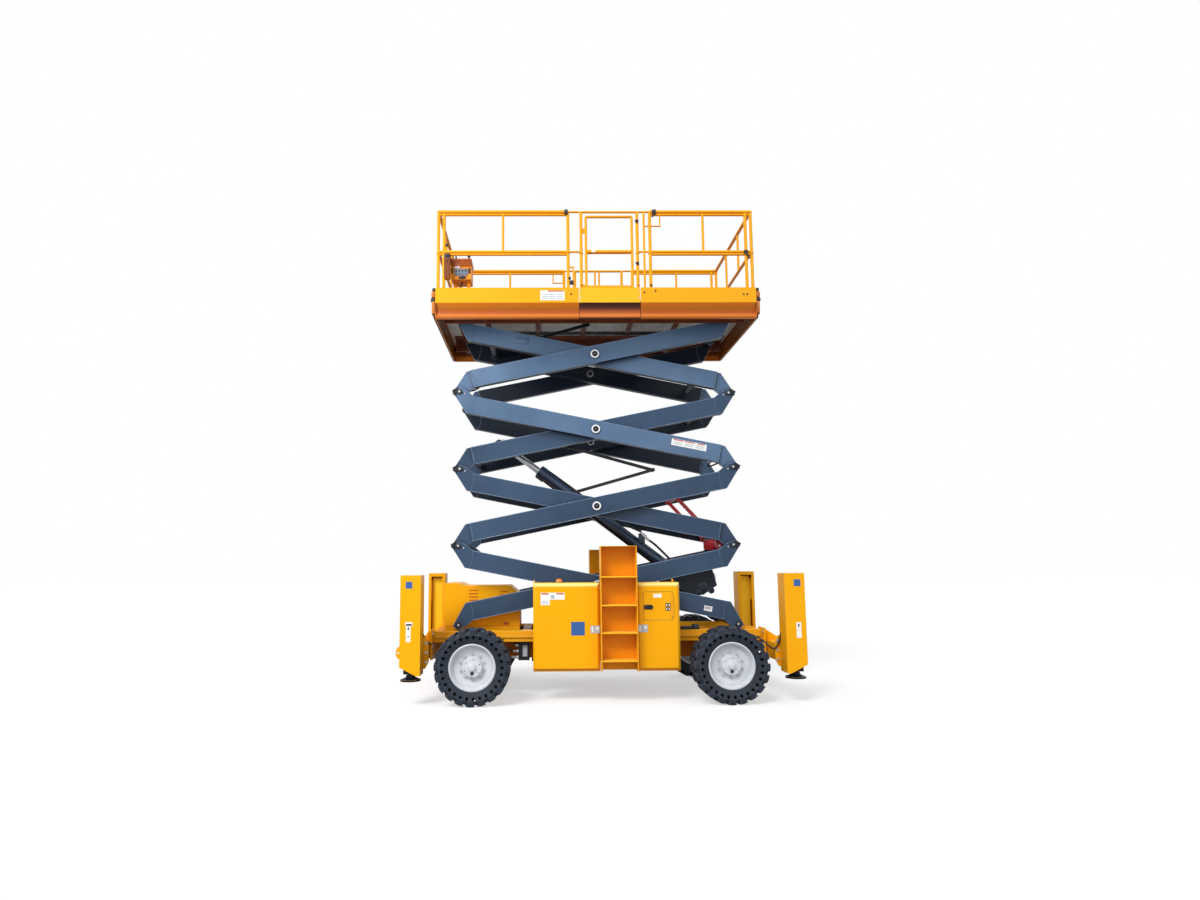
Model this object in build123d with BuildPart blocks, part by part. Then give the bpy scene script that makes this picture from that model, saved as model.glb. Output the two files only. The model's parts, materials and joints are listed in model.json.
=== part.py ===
from build123d import *
import math
import os

os.makedirs("parts", exist_ok=True)

# Rough-terrain scissor lift, raised part of the way. Millimetres, +Z up.
# +X points to the rear, -X to the steered front end; the near side is -Y.
# Origin: on the ground, at the middle of the length and of the width.

# ---------------------------------------------------------------- wheels
WHEELBASE = 2863.0
OVERALL_W = 2308.0
TYRE_R = 419.0
TYRE_W = 310.0
LUG_H = 22.0
LUG_COUNT = 20
RIM_R = 259.0
RIM_W = 250.0
HUB_R = 92.0
RIM_GAP = 0.3
TYRE_Y = OVERALL_W / 2 - TYRE_W / 2
WHEEL_X = WHEELBASE / 2

# ---------------------------------------------------------------- chassis
RAIL_IN = 400.0
RAIL_OUT = 560.0
RAIL_TOP = 765.0
RAIL_H = 125.0
RAIL_HALF = 1950.0
BEAM_Z = (540.0, 645.0)
BELLY_Z = (430.0, 650.0)
BELLY_HALF = 1250.0
BELLY_OUT = 345.0
GUIDE_TOP = 788.0
AXLE_BEAM_H = 150.0
AXLE_BEAM_W = 130.0
KINGPIN_Y = 800.0
KINGPIN_R = 24.0
KNUCKLE_H = 190.0
RUN_GAP = 6.0
SPINDLE_R = 55.0
TIE_R = 22.0
TIE_Y = 300.0
HOOK_R = 12.0
HOOK_Z = 580.0

# ---------------------------------------------------------------- scissor stack
LEVELS = 4
PIVOT_Z = 830.0
PIVOT_X = 1660.0
LEVEL_RISE = 939.0
ARM_T = 90.0
ARM_GAP = 10.0
ARM_DEPTH = 220.0
EDGE_PIN = 130.0
INNER_FACE = 380.0
PLATE_T = 25.0
TONGUE_T = 30.0
SEAM = 180.0
TIP = 95.0
FOOT_TIP = 70.0
NOSE_R = 47.0
END_R = 52.0
PIN_R = 30.0
PIN_CLEAR = 0.3
TUBE_R = 38.0
CROSS_R = 48.0
CENTRE_R = 34.0
BOSS_R = 56.0

# ---------------------------------------------------------------- lift cylinder
BARREL_R = 78.0
ROD_R = 42.0
BARREL_L = 2430.0
EYE_R = 78.0
BASE_PIN_R = 40.0
ROD_EYE_R = 62.0
ROD_EYE_HALF = 52.0

# ---------------------------------------------------------------- platform
DECK_Z = 4655.0
DECK_T = 12.0
PLAT_HALF = 1915.0
PLAT_W = 1860.0
GUARD_TOP = 5788.0
GUARD_MID = 5284.0
TOE_TOP = 4825.0
BAND_BOTTOM = 4449.0
BAND_BEND = 4640.0
SEAM_FRONT = -206.0
SEAM_REAR = 533.0

# ---------------------------------------------------------------- outriggers
OUT_ENDS = (
    # name, direction, outer face
    ("front", -1, 2235.0), ("rear", 1, 2280.0),
)
OUT_W = 228.0
OUT_CAP = 45.0
OUT_FACE_Y = 1104.0
OUT_DEPTH = 235.0
OUT_TOP = 1430.0
OUT_LOW = 330.0
OUT_SLANT = 95.0
OUT_WALL = 12.0
LEG_W = 140.0
PAD_R = 112.0
PAD_Z = 270.0

# ---------------------------------------------------------------- cabinets and ladders
CAB_FACE_Y = 960.0
CAB_IN_Y = 680.0
CAB_TOP = 1330.0
CAB_LOW = 352.0
DOOR = (487.0, 817.0, 911.0, 1224.0)
DOOR_T = 16.0
POCKET = 90.0
DOOR_GAP = 4.0
LADDER_X = (-4.0, 406.0)
LADDER_WALL = 8.0
LADDER_TOP = 1745.0
LADDER_LOW = 360.0
LADDER_DEPTH = 190.0
LADDER_FACE = 1100.0
STEP_Z = (472.0, 778.0, 1081.0, 1397.0)
STEP_T = 16.0

# ---------------------------------------------------------------- derived
ARM_LINE = math.hypot(2 * PIVOT_X, LEVEL_RISE)
ARM_AXIS = math.sqrt(ARM_LINE**2 - (2 * EDGE_PIN) ** 2)
REST_DEG = math.degrees(math.asin(LEVEL_RISE / ARM_LINE))
SKEW_DEG = math.degrees(math.asin(2 * EDGE_PIN / ARM_LINE))
BEAM_DEG = REST_DEG - SKEW_DEG
OUTER_FACE = INNER_FACE + ARM_T + ARM_GAP
HALF_D = ARM_DEPTH / 2
RAIL_LOW = RAIL_TOP - RAIL_H
TOP_PIVOT_Z = PIVOT_Z + LEVELS * LEVEL_RISE
TRACK_Z = TOP_PIVOT_Z + END_R + 5
SEAT = 0.3
LOW_ROLLER_R = PIVOT_Z - RAIL_TOP - SEAT
TOP_ROLLER_R = TRACK_Z - TOP_PIVOT_Z - SEAT


def export(piece, name):
    piece.part.label = name
    export_step(piece.part, f"parts/{name}.step")


def xz(y):
    """Drawing plane at one Y: sketch x is +X and sketch y is +Z, extruding towards -Y."""
    return Plane(origin=(0, y, 0), x_dir=(1, 0, 0), z_dir=(0, -1, 0))


def slab(x0, x1, y0, y1, z0, z1):
    """A box between two corners, added to the part being built."""
    with Locations(((x0 + x1) / 2, (y0 + y1) / 2, (z0 + z1) / 2)):
        Box(abs(x1 - x0), abs(y1 - y0), abs(z1 - z0))


def cut_slab(x0, x1, y0, y1, z0, z1):
    with Locations(((x0 + x1) / 2, (y0 + y1) / 2, (z0 + z1) / 2)):
        Box(abs(x1 - x0), abs(y1 - y0), abs(z1 - z0), mode=Mode.SUBTRACT)


def bar_y(x, z, r, y0, y1, mode=Mode.ADD):
    """A round bar along Y."""
    with Locations(Location((x, (y0 + y1) / 2, z), (90, 0, 0))):
        Cylinder(r, abs(y1 - y0), mode=mode)


def arm_point(level, lean, along, above):
    """A point of an arm, from its lower pin: along the line of pins and square above it."""
    c, s = math.cos(math.radians(REST_DEG)), math.sin(math.radians(REST_DEG))
    z0 = PIVOT_Z + (level - 1) * LEVEL_RISE
    x, z = along * c - above * s, along * s + above * c
    return (-PIVOT_X + x, z0 + z) if lean == "a" else (PIVOT_X - x, z0 + z)


def centre_above(along):
    """Height of the beam's centre line over the line of pins."""
    return EDGE_PIN * (1 - 2 * along / ARM_LINE)


# ================================================================ scissor arms
EYE_TUBE = 0.062
# lean a rises towards +X, lean b towards -X
# ends: fork and tongue of the joints between levels, foot on the chassis, head under the platform
ARMS = (
    # name, level, lean, plane, lower end, upper end, cross tubes (share of length, radius)
    ("arm_1a", 1, "a", "inner", "foot", "fork", ((0.275, 55.0),)),
    ("arm_1b", 1, "b", "outer", "foot", "fork", ()),
    ("arm_2a", 2, "a", "outer", "tongue", "fork", ()),
    ("arm_2b", 2, "b", "inner", "tongue", "fork", ((0.16, CROSS_R),)),
    ("arm_3a", 3, "a", "inner", "tongue", "fork", ((EYE_TUBE, CROSS_R), (0.88, CROSS_R))),
    ("arm_3b", 3, "b", "outer", "tongue", "fork", ()),
    ("arm_4a", 4, "a", "outer", "tongue", "head", ()),
    ("arm_4b", 4, "b", "inner", "tongue", "head", ((0.12, CROSS_R), (0.88, CROSS_R))),
)
# pins that run right across between the two sides, by arm: at its upper pin or its lower pin
THROUGH = {"arm_1a": "upper", "arm_2b": "upper", "arm_3a": "upper", "arm_2a": "upper",
           "arm_3b": "upper", "arm_1b": "lower", "arm_4a": "upper"}
SHAFT_R = 35.0
ROLLER_IN = 404.0

# cylinder anchors: along and above the pin lines of arm 1a and arm 3a
BASE_ALONG, BASE_ABOVE = 2906.0, -376.0
EYE_ALONG, EYE_ABOVE = 585.0, 229.0
LUG_IN = 60.0
LUG_T = 22.0

# maintenance prop on arm 2b, and the hose links, which stay parallel to the arms
PROP_ALONG, PROP_ABOVE = 210.0, 35.0
PROP_SHAFT_R = 18.0
PROP_L = 665.0
PROP_DEG = 132.6
PROP_Y = 318.0
LINK_L = 1240.0
TOP_LINK_L = 830.0
LINK_Y = 300.0
LINK_PIN_R = 13.0
LINK_T = 22.0
LINK_H = 38.0


def end_outline(kind):
    """Corners of one beam end, from its pin: x into the beam, y towards the beam's body."""
    near, far = EDGE_PIN - HALF_D, EDGE_PIN + HALF_D
    if kind == "head":
        with BuildSketch(mode=Mode.PRIVATE) as s:
            with BuildLine():
                Polyline((SEAM, near), (SEAM, far), (130, far), (-END_R, 0), (0, 0), (SEAM * 0.6, near),
                         (SEAM, near))
            make_face()
            Circle(END_R)
        return s.sketch
    tip = FOOT_TIP if kind == "foot" else TIP
    with BuildSketch(mode=Mode.PRIVATE) as s:
        with BuildLine():
            Polyline((SEAM, near), (SEAM, far), (130, far), (-tip, 4), (-0.45 * tip, -NOSE_R), (30, -NOSE_R))
            ThreePointArc((30, -NOSE_R), (105, -0.40 * NOSE_R), (SEAM, near))
        make_face()
    return s.sketch


for name, level, lean, plane, low_end, up_end, tubes in ARMS:
    face = INNER_FACE if plane == "inner" else OUTER_FACE
    mid = face + ARM_T / 2
    cx, cz = 0.0, PIVOT_Z + (level - 0.5) * LEVEL_RISE
    tilt = BEAM_DEG
    half = ARM_AXIS / 2
    sign = 1 if lean == "a" else -1
    # the b arms are the a arms turned about Z by half a turn
    turn = Location((cx, 0, cz), (0, -sign * tilt, 0)) if lean == "a" else Location((cx, 0, cz), (0, tilt, 0))
    low_pin = arm_point(level, lean, 0, 0)
    up_pin = arm_point(level, lean, ARM_LINE, 0)
    with BuildPart() as arm:
        for side in (-1, 1):
            # the box beam between the two seams
            with BuildPart(mode=Mode.PRIVATE) as beam:
                with BuildSketch(xz(side * mid + ARM_T / 2)):
                    Rectangle(2 * (half - SEAM), ARM_DEPTH)
                extrude(amount=ARM_T)
                fillet(beam.edges().filter_by(Axis.X), 12)
            for end, kind in ((-1, low_end), (1, up_end)):
                if kind == "tongue":
                    layers = ((mid, TONGUE_T),)
                elif kind == "fork":
                    layers = ((face + PLATE_T / 2, PLATE_T), (face + ARM_T - PLATE_T / 2, PLATE_T))
                else:
                    layers = ((mid, ARM_T),)
                with BuildPart(mode=Mode.PRIVATE) as tip:
                    for at, thick in layers:
                        with BuildSketch(xz(side * at + thick / 2)):
                            sk = end_outline(kind)
                            if end < 0:
                                add(sk.moved(Location((-half, -EDGE_PIN, 0))))
                            else:
                                add(sk.moved(Location((half, EDGE_PIN, 0), (0, 0, 180))))
                        extrude(amount=thick)
                beam.part = beam.part + tip.part
            piece = beam.part if lean == "a" else mirror(beam.part, Plane.YZ, mode=Mode.PRIVATE)
            add(turn * piece)
        # holes for pins held by a neighbour, then this arm's own pins
        for pin, kind in ((low_pin, low_end), (up_pin, up_end)):
            own = kind == "fork"
            if not own:
                bar_y(pin[0], pin[1], PIN_R + PIN_CLEAR, -OUTER_FACE - 2 * ARM_T, OUTER_FACE + 2 * ARM_T,
                      Mode.SUBTRACT)
        if plane == "inner":
            bar_y(cx, cz, CENTRE_R + PIN_CLEAR, -OUTER_FACE - ARM_T, OUTER_FACE + ARM_T, Mode.SUBTRACT)
        for side in (-1, 1):
            if up_end == "fork":
                bar_y(*up_pin, PIN_R, side * (face - 2), side * (face + ARM_T + 8))
            if plane == "outer":
                bar_y(cx, cz, CENTRE_R, side * (INNER_FACE - 20), side * (OUTER_FACE + ARM_T))
                bar_y(cx, cz, BOSS_R, side * (OUTER_FACE + ARM_T - 4), side * (OUTER_FACE + ARM_T + 14))
                bar_y(cx, cz, BOSS_R, side * (INNER_FACE - 20), side * (INNER_FACE - RUN_GAP))
        if name in THROUGH:
            pin = up_pin if THROUGH[name] == "upper" else low_pin
            slider = name in ("arm_1b", "arm_4a")
            bar_y(*pin, SHAFT_R if slider else TUBE_R, -face - (ARM_T if slider else 2),
                  face + (ARM_T if slider else 2))
            if slider:
                r = LOW_ROLLER_R if name == "arm_1b" else TOP_ROLLER_R
                for side in (-1, 1):
                    bar_y(*pin, r, side * ROLLER_IN, side * (OUTER_FACE - 8))
        for share, r in tubes:
            at = share * ARM_LINE
            bar_y(*arm_point(level, lean, at, centre_above(at)), r, -INNER_FACE - 5, INNER_FACE + 5)
        if name == "arm_1a":
            # two hanging cheeks, the cylinder's base pin between them and a stiffening tube below it
            base = arm_point(1, "a", BASE_ALONG, BASE_ABOVE)
            top_l = arm_point(1, "a", BASE_ALONG - 420, centre_above(BASE_ALONG) - 60)
            top_r = arm_point(1, "a", BASE_ALONG + 230, centre_above(BASE_ALONG) - 60)
            for side in (-1, 1):
                with BuildSketch(xz(side * (INNER_FACE - 14) + 14)):
                    with BuildLine():
                        Polyline(top_l, (base[0] - 150, base[1] - 60), (base[0] - 60, base[1] - 95),
                                 (base[0] + 60, base[1] - 95), (base[0] + 230, base[1] + 20), top_r, top_l)
                    make_face()
                extrude(amount=28)
            bar_y(*base, BASE_PIN_R, -INNER_FACE, INNER_FACE)
            bar_y(*arm_point(1, "a", BASE_ALONG + 197, BASE_ABOVE + 54), 30, -INNER_FACE, INNER_FACE)
        if name == "arm_2b":
            # shaft of the maintenance prop, and the stub that carries the lower hose link
            bar_y(*arm_point(2, "b", PROP_ALONG, PROP_ABOVE), PROP_SHAFT_R, -INNER_FACE - 5, INNER_FACE + 5)
            bar_y(*arm_point(2, "b", ARM_LINE - LINK_L, 0), LINK_PIN_R, -LINK_Y + 32, -INNER_FACE - 5)
        if name == "arm_3a":
            bar_y(*arm_point(3, "a", LINK_L, 0), LINK_PIN_R, -LINK_Y + 32, -INNER_FACE - 5)
        if name == "arm_4b":
            bar_y(*arm_point(4, "b", ARM_LINE - TOP_LINK_L, 0), LINK_PIN_R, -LINK_Y + 32, -INNER_FACE - 5)
        if name == "arm_3a":
            # lugs on the lower cross tube that take the rod's eye
            eye = arm_point(3, "a", EYE_ALONG, EYE_ABOVE)
            at = EYE_TUBE * ARM_LINE
            seat = arm_point(3, "a", at, centre_above(at))
            for side in (-1, 1):
                with BuildSketch(xz(side * (LUG_IN + LUG_T / 2) + LUG_T / 2)):
                    with BuildLine():
                        Polyline((seat[0] - 40, seat[1] + 40), (eye[0] - 55, eye[1] + 55),
                                 (eye[0] + 60, eye[1] + 10), (eye[0] + 30, eye[1] - 60),
                                 (seat[0] + 60, seat[1] - 40), (seat[0] - 40, seat[1] + 40))
                    make_face()
                    with Locations(eye):
                        Circle(32, mode=Mode.SUBTRACT)
                extrude(amount=LUG_T)
    export(arm, name)

# ================================================================ lift cylinder
base = arm_point(1, "a", BASE_ALONG, BASE_ABOVE)
eye = arm_point(3, "a", EYE_ALONG, EYE_ABOVE)
cyl_len = math.dist(base, eye)
cyl_dir = ((eye[0] - base[0]) / cyl_len, (eye[1] - base[1]) / cyl_len)
cyl_plane = Plane(origin=(base[0], 0, base[1]), x_dir=(0, 1, 0), z_dir=(cyl_dir[0], 0, cyl_dir[1]))

with BuildPart() as lift_barrel:
    with BuildSketch(cyl_plane):
        Circle(BARREL_R)
    extrude(amount=BARREL_L)
    with BuildSketch(cyl_plane.offset(BARREL_L - 110)):
        Circle(BARREL_R + 12)
    extrude(amount=110)
    bar_y(*base, EYE_R + 20, -70, 70)
    bar_y(*base, BASE_PIN_R + PIN_CLEAR, -90, 90, Mode.SUBTRACT)
    with BuildSketch(cyl_plane.offset(EYE_R + 70)):
        Circle(ROD_R + 1)
    extrude(amount=BARREL_L, mode=Mode.SUBTRACT)
export(lift_barrel, "lift_barrel")

with BuildPart() as lift_rod:
    with BuildSketch(cyl_plane.offset(cyl_len - BARREL_L + 60)):
        Circle(ROD_R)
    extrude(amount=BARREL_L - 60)
    bar_y(*eye, ROD_EYE_R, -ROD_EYE_HALF + 4, ROD_EYE_HALF - 4)
    bar_y(*eye, 29, -ROD_EYE_HALF, ROD_EYE_HALF)
export(lift_rod, "lift_rod")

# ================================================================ chassis
with BuildPart() as chassis_frame:
    for side in (-1, 1):
        slab(-RAIL_HALF, RAIL_HALF, side * RAIL_IN, side * RAIL_OUT, RAIL_LOW, RAIL_TOP)
        # pivot lug for arm 1a on the inside of the arm, with its pin
        slab(-PIVOT_X - 55, -PIVOT_X + 55, side * (INNER_FACE - 45), side * (INNER_FACE - 5), RAIL_LOW, PIVOT_Z)
        bar_y(-PIVOT_X, PIVOT_Z, 48, side * (INNER_FACE - 45), side * (INNER_FACE - 5))
        bar_y(-PIVOT_X, PIVOT_Z, PIN_R, side * (INNER_FACE - 45), side * (INNER_FACE + ARM_T + 8))
        slab(-PIVOT_X - 55, -PIVOT_X + 55, side * (INNER_FACE - 25), side * RAIL_IN, RAIL_LOW, RAIL_LOW + 60)
        # guide wall of the sliding track, inside the rollers, and the rib along the rail's outer face
        slab(-60, RAIL_HALF - 60, side * (RAIL_IN - 14), side * (RAIL_IN + 2), RAIL_LOW, GUIDE_TOP)
        slab(-RAIL_HALF + 30, RAIL_HALF - 30, side * (RAIL_OUT - 2), side * (RAIL_OUT + 14),
             RAIL_TOP - 78, RAIL_TOP - 48)
        # belly plate that hangs from the cross-members
        slab(-BELLY_HALF, BELLY_HALF, side * (BELLY_OUT - 12), side * BELLY_OUT, *BELLY_Z)
    for x in (-RAIL_HALF + 50, -850, 780, RAIL_HALF - 50):
        slab(x - 50, x + 50, -RAIL_IN, RAIL_IN, RAIL_LOW, RAIL_TOP - 5)
    # side outriggers of the frame that carry the cabinets and ladders
    for x in (-600, 180, 760):
        slab(x - 40, x + 40, -CAB_IN_Y, CAB_IN_Y, *BEAM_Z)
export(chassis_frame, "chassis_frame")

AXLE_Z = TYRE_R
with BuildPart() as axles:
    for x, steer in ((-WHEEL_X, True), (WHEEL_X, False)):
        reach = KINGPIN_Y - 62 if steer else TYRE_Y - RIM_W / 2 + 30
        slab(x - AXLE_BEAM_W / 2, x + AXLE_BEAM_W / 2, -reach, reach,
             AXLE_Z - AXLE_BEAM_H / 2, AXLE_Z + AXLE_BEAM_H / 2)
        for side in (-1, 1):
            # saddle up to the chassis rail
            slab(x - 90, x + 90, side * (RAIL_IN + 10), side * (RAIL_OUT - 10),
                 AXLE_Z, RAIL_LOW)
            if steer:
                for z in (AXLE_Z - KNUCKLE_H / 2 - 28, AXLE_Z + KNUCKLE_H / 2 + 4):
                    slab(x - 45, x + 45, side * (reach - 60), side * (KINGPIN_Y + 40), z, z + 24)
                with Locations((x, side * KINGPIN_Y, AXLE_Z)):
                    Cylinder(KINGPIN_R, KNUCKLE_H + 56)
                slab(x - 45, x + 45, side * (reach - 60), side * (reach - 10),
                     AXLE_Z - KNUCKLE_H / 2 - 28, AXLE_Z + KNUCKLE_H / 2 + 28)
            else:
                bar_y(x, AXLE_Z, SPINDLE_R, side * (reach - 20), side * (TYRE_Y + 20))
export(axles, "axles")

# steering knuckles, one each side of the front axle, with the wheel's spindle
for name, side in (("knuckle_near", -1), ("knuckle_far", 1)):
    with BuildPart() as knuckle:
        with Locations((-WHEEL_X, side * KINGPIN_Y, AXLE_Z)):
            Cylinder(48, KNUCKLE_H - 2 * 3)
            Cylinder(KINGPIN_R + PIN_CLEAR, KNUCKLE_H + 20, mode=Mode.SUBTRACT)
        bar_y(-WHEEL_X, AXLE_Z, SPINDLE_R, side * (KINGPIN_Y + 44), side * (TYRE_Y + 20))
        # steering arm behind the kingpin
        slab(-WHEEL_X + 40, -WHEEL_X + 150, side * (KINGPIN_Y - 20), side * (KINGPIN_Y + 20),
             AXLE_Z - 20, AXLE_Z + 20)
    export(knuckle, name)

# ================================================================ wheels
WHEELS = (
    # name, x, side
    ("front_near", -WHEEL_X, -1), ("front_far", -WHEEL_X, 1),
    ("rear_near", WHEEL_X, -1), ("rear_far", WHEEL_X, 1),
)
for name, x, side in WHEELS:
    wheel_plane = Plane(origin=(x, side * TYRE_Y, TYRE_R), x_dir=(1, 0, 0), z_dir=(0, side, 0))
    with BuildPart() as tyre:
        with BuildSketch(Plane(origin=(x, side * TYRE_Y, TYRE_R), x_dir=(0, 0, 1), z_dir=(1, 0, 0))):
            with BuildLine():
                Polyline((RIM_R + RIM_GAP, -RIM_W / 2), (TYRE_R - LUG_H - 40, -TYRE_W / 2),
                         (TYRE_R - LUG_H, -TYRE_W / 2 + 22), (TYRE_R - LUG_H, TYRE_W / 2 - 22),
                         (TYRE_R - LUG_H - 40, TYRE_W / 2), (RIM_R + RIM_GAP, RIM_W / 2),
                         (RIM_R + RIM_GAP, -RIM_W / 2))
            make_face()
        revolve(axis=Axis((x, 0, TYRE_R), (0, 1, 0)))
        with BuildPart(mode=Mode.PRIVATE) as lug:
            with BuildSketch(Plane(origin=(x, side * TYRE_Y, TYRE_R + TYRE_R - LUG_H - 6), x_dir=(0, 1, 0),
                                   z_dir=(0, 0, 1))):
                with BuildLine():
                    Polyline((-12, -8), (TYRE_W / 2 - 2, 30), (TYRE_W / 2 - 2, 74), (-12, 34), (-12, -8))
                make_face()
            extrude(amount=LUG_H + 6, taper=8)
        for k in range(LUG_COUNT):
            for mirrored in (False, True):
                deg = 360 / LUG_COUNT * (k + (0.5 if mirrored else 0))
                one = mirror(lug.part, Plane.XZ.offset(-side * TYRE_Y), mode=Mode.PRIVATE) if mirrored \
                    else lug.part
                add(one.rotate(Axis((x, 0, TYRE_R), (0, 1, 0)), deg))
        with BuildSketch(Plane(origin=(x, side * TYRE_Y - TYRE_W, TYRE_R), x_dir=(1, 0, 0), z_dir=(0, 1, 0))):
            Circle(TYRE_R)
            Circle(RIM_R + RIM_GAP, mode=Mode.SUBTRACT)
        extrude(amount=2 * TYRE_W, mode=Mode.INTERSECT)
    export(tyre, f"tyre_{name}")
    with BuildPart() as rim:
        with BuildSketch(Plane(origin=(x, 0, TYRE_R), x_dir=(0, side, 0), z_dir=(-side, 0, 0))):
            # rim section: x outwards, y up; barrel with lips, dished disc and hub
            y0 = TYRE_Y
            with BuildLine():
                Polyline((y0 - RIM_W / 2, RIM_R), (y0 + RIM_W / 2, RIM_R), (y0 + RIM_W / 2 + 4, RIM_R - 14),
                         (y0 + RIM_W / 2 - 22, RIM_R - 26), (y0 + 62, RIM_R - 40), (y0 + 50, HUB_R + 30),
                         (y0 + 74, HUB_R), (y0 + 110, HUB_R - 14), (y0 + 118, 44), (y0 + 132, 34),
                         (y0 + 134, 0), (y0 + 20 + PIN_CLEAR, 0), (y0 + 20 + PIN_CLEAR, SPINDLE_R + PIN_CLEAR),
                         (y0 - 20, SPINDLE_R + PIN_CLEAR), (y0 - 20, HUB_R), (y0 + 20, HUB_R + 24), (y0 + 30, RIM_R - 40),
                         (y0 - RIM_W / 2 + 4, RIM_R - 24), (y0 - RIM_W / 2, RIM_R))
            make_face()
        revolve(axis=Axis((x, 0, TYRE_R), (0, 1, 0)))
    export(rim, f"rim_{name}")

# ================================================================ outriggers
LEG_GAP = 0.3
for end, sx, x_out in OUT_ENDS:
    xo, xi = sx * x_out, sx * (x_out - OUT_W)
    x_beam = sx * (x_out - OUT_W + 130)
    with BuildPart() as outrigger:
        for side in (-1, 1):
            yo, yi = side * OUT_FACE_Y, side * (OUT_FACE_Y - OUT_DEPTH)
            with BuildPart(mode=Mode.PRIVATE) as post:
                with BuildSketch(xz(yo)):
                    with BuildLine():
                        Polyline((xo, OUT_LOW + OUT_SLANT), (xo, OUT_TOP), (xi, OUT_TOP), (xi, OUT_LOW),
                                 (xi + sx * 40, OUT_LOW), (xo, OUT_LOW + OUT_SLANT))
                    make_face()
                extrude(amount=-OUT_DEPTH if side < 0 else OUT_DEPTH)
                cut_slab(xi + sx * OUT_WALL, xo - sx * OUT_WALL, yo - side * OUT_WALL, yi + side * -1,
                         OUT_LOW - 1, OUT_TOP - OUT_CAP)
                # inner lips that keep the leg in the C shaped post
                for xa in (xi, xo):
                    inward = sx if xa == xi else -sx
                    slab(xa, xa + inward * (OUT_WALL + 26), yi, yi + side * OUT_WALL, OUT_LOW + OUT_SLANT,
                         OUT_TOP)
            add(post.part)
            # bolted bracket from the cross beam to the post's inner edge
            with BuildSketch(xz(side * (OUT_FACE_Y - OUT_DEPTH) + 10)):
                with BuildLine():
                    Polyline((xi - sx * 60, 450), (xi - sx * 20, 380), (xi + sx * 50, 380), (xi + sx * 50, 760),
                             (xi - sx * 25, 720), (xi - sx * 60, 640), (xi - sx * 60, 450))
                make_face()
            extrude(amount=20)
        # cross beam behind the wheels and its bolted plates on the ends of the rails
        slab(sx * (RAIL_HALF + 40), x_beam, -(OUT_FACE_Y - OUT_DEPTH) + 5, OUT_FACE_Y - OUT_DEPTH - 5, 450, 640)
        for side in (-1, 1):
            slab(sx * RAIL_HALF, sx * (RAIL_HALF + 24), side * (RAIL_IN - 20), side * (RAIL_OUT + 40), 440,
                 RAIL_TOP + 20)
            slab(sx * (RAIL_HALF + 20), sx * (RAIL_HALF + 50), side * RAIL_IN, side * RAIL_OUT, 470, 700)
            # sloping webs between the end plate and the cross beam
            for y in (RAIL_IN + 20, RAIL_OUT - 40):
                with BuildSketch(xz(side * y + 10)):
                    with BuildLine():
                        Polyline((sx * (RAIL_HALF + 20), RAIL_TOP + 15), (x_beam - sx * 10, 650), (x_beam - sx * 10, 630),
                                 (sx * (RAIL_HALF + 20), 630), (sx * (RAIL_HALF + 20), RAIL_TOP + 15))
                    make_face()
                extrude(amount=20)
            if end == "front":
                # lashing eye on the outer edge of the post
                with BuildSketch(xz(side * (OUT_FACE_Y - 40) + 10)):
                    with BuildLine():
                        Polyline((xo + 5, HOOK_Z - 72), (xo - 27, HOOK_Z - 60), (xo - 45, HOOK_Z - 20),
                                 (xo - 45, HOOK_Z + 20), (xo - 27, HOOK_Z + 60), (xo + 5, HOOK_Z + 72),
                                 (xo + 5, HOOK_Z - 72))
                    make_face()
                    with Locations((xo - 22, HOOK_Z)):
                        Circle(HOOK_R, mode=Mode.SUBTRACT)
                extrude(amount=20)
            else:
                # level lashing plate on the outer face of the cross beam
                slab(x_beam - 5, x_beam + 80, side * TIE_Y - 48, side * TIE_Y + 48, 540, 560)
                with Locations((x_beam + 42, side * TIE_Y, 550)):
                    Cylinder(TIE_R, 30, mode=Mode.SUBTRACT)
    export(outrigger, f"outrigger_frame_{end}")
    for side, word in ((-1, "near"), (1, "far")):
        xm = sx * (x_out - OUT_W / 2)
        ym = side * (OUT_FACE_Y - OUT_WALL - LEG_GAP - LEG_W / 2 - 6)
        with BuildPart() as leg:
            slab(xm - LEG_W / 2, xm + LEG_W / 2, ym - LEG_W / 2, ym + LEG_W / 2, PAD_Z + 78,
                 OUT_TOP - OUT_CAP - 15)
            for inward in (-1, 1):
                slab(xm + inward * LEG_W / 2, xm + inward * (OUT_W / 2 - OUT_WALL - LEG_GAP),
                     ym - LEG_W / 2 + 10, ym + LEG_W / 2 - 10, OUT_TOP - 390, OUT_TOP - 90)
            with Locations((xm, ym, PAD_Z + 50)):
                Cylinder(34, 60)
            # dished foot
            with Locations((xm, ym, PAD_Z + 9)):
                Cylinder(PAD_R, 18)
            with Locations((xm, ym, PAD_Z + 18 + 15)):
                Cone(PAD_R - 14, 46, 30)
        export(leg, f"outrigger_leg_{end}_{word}")

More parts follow.
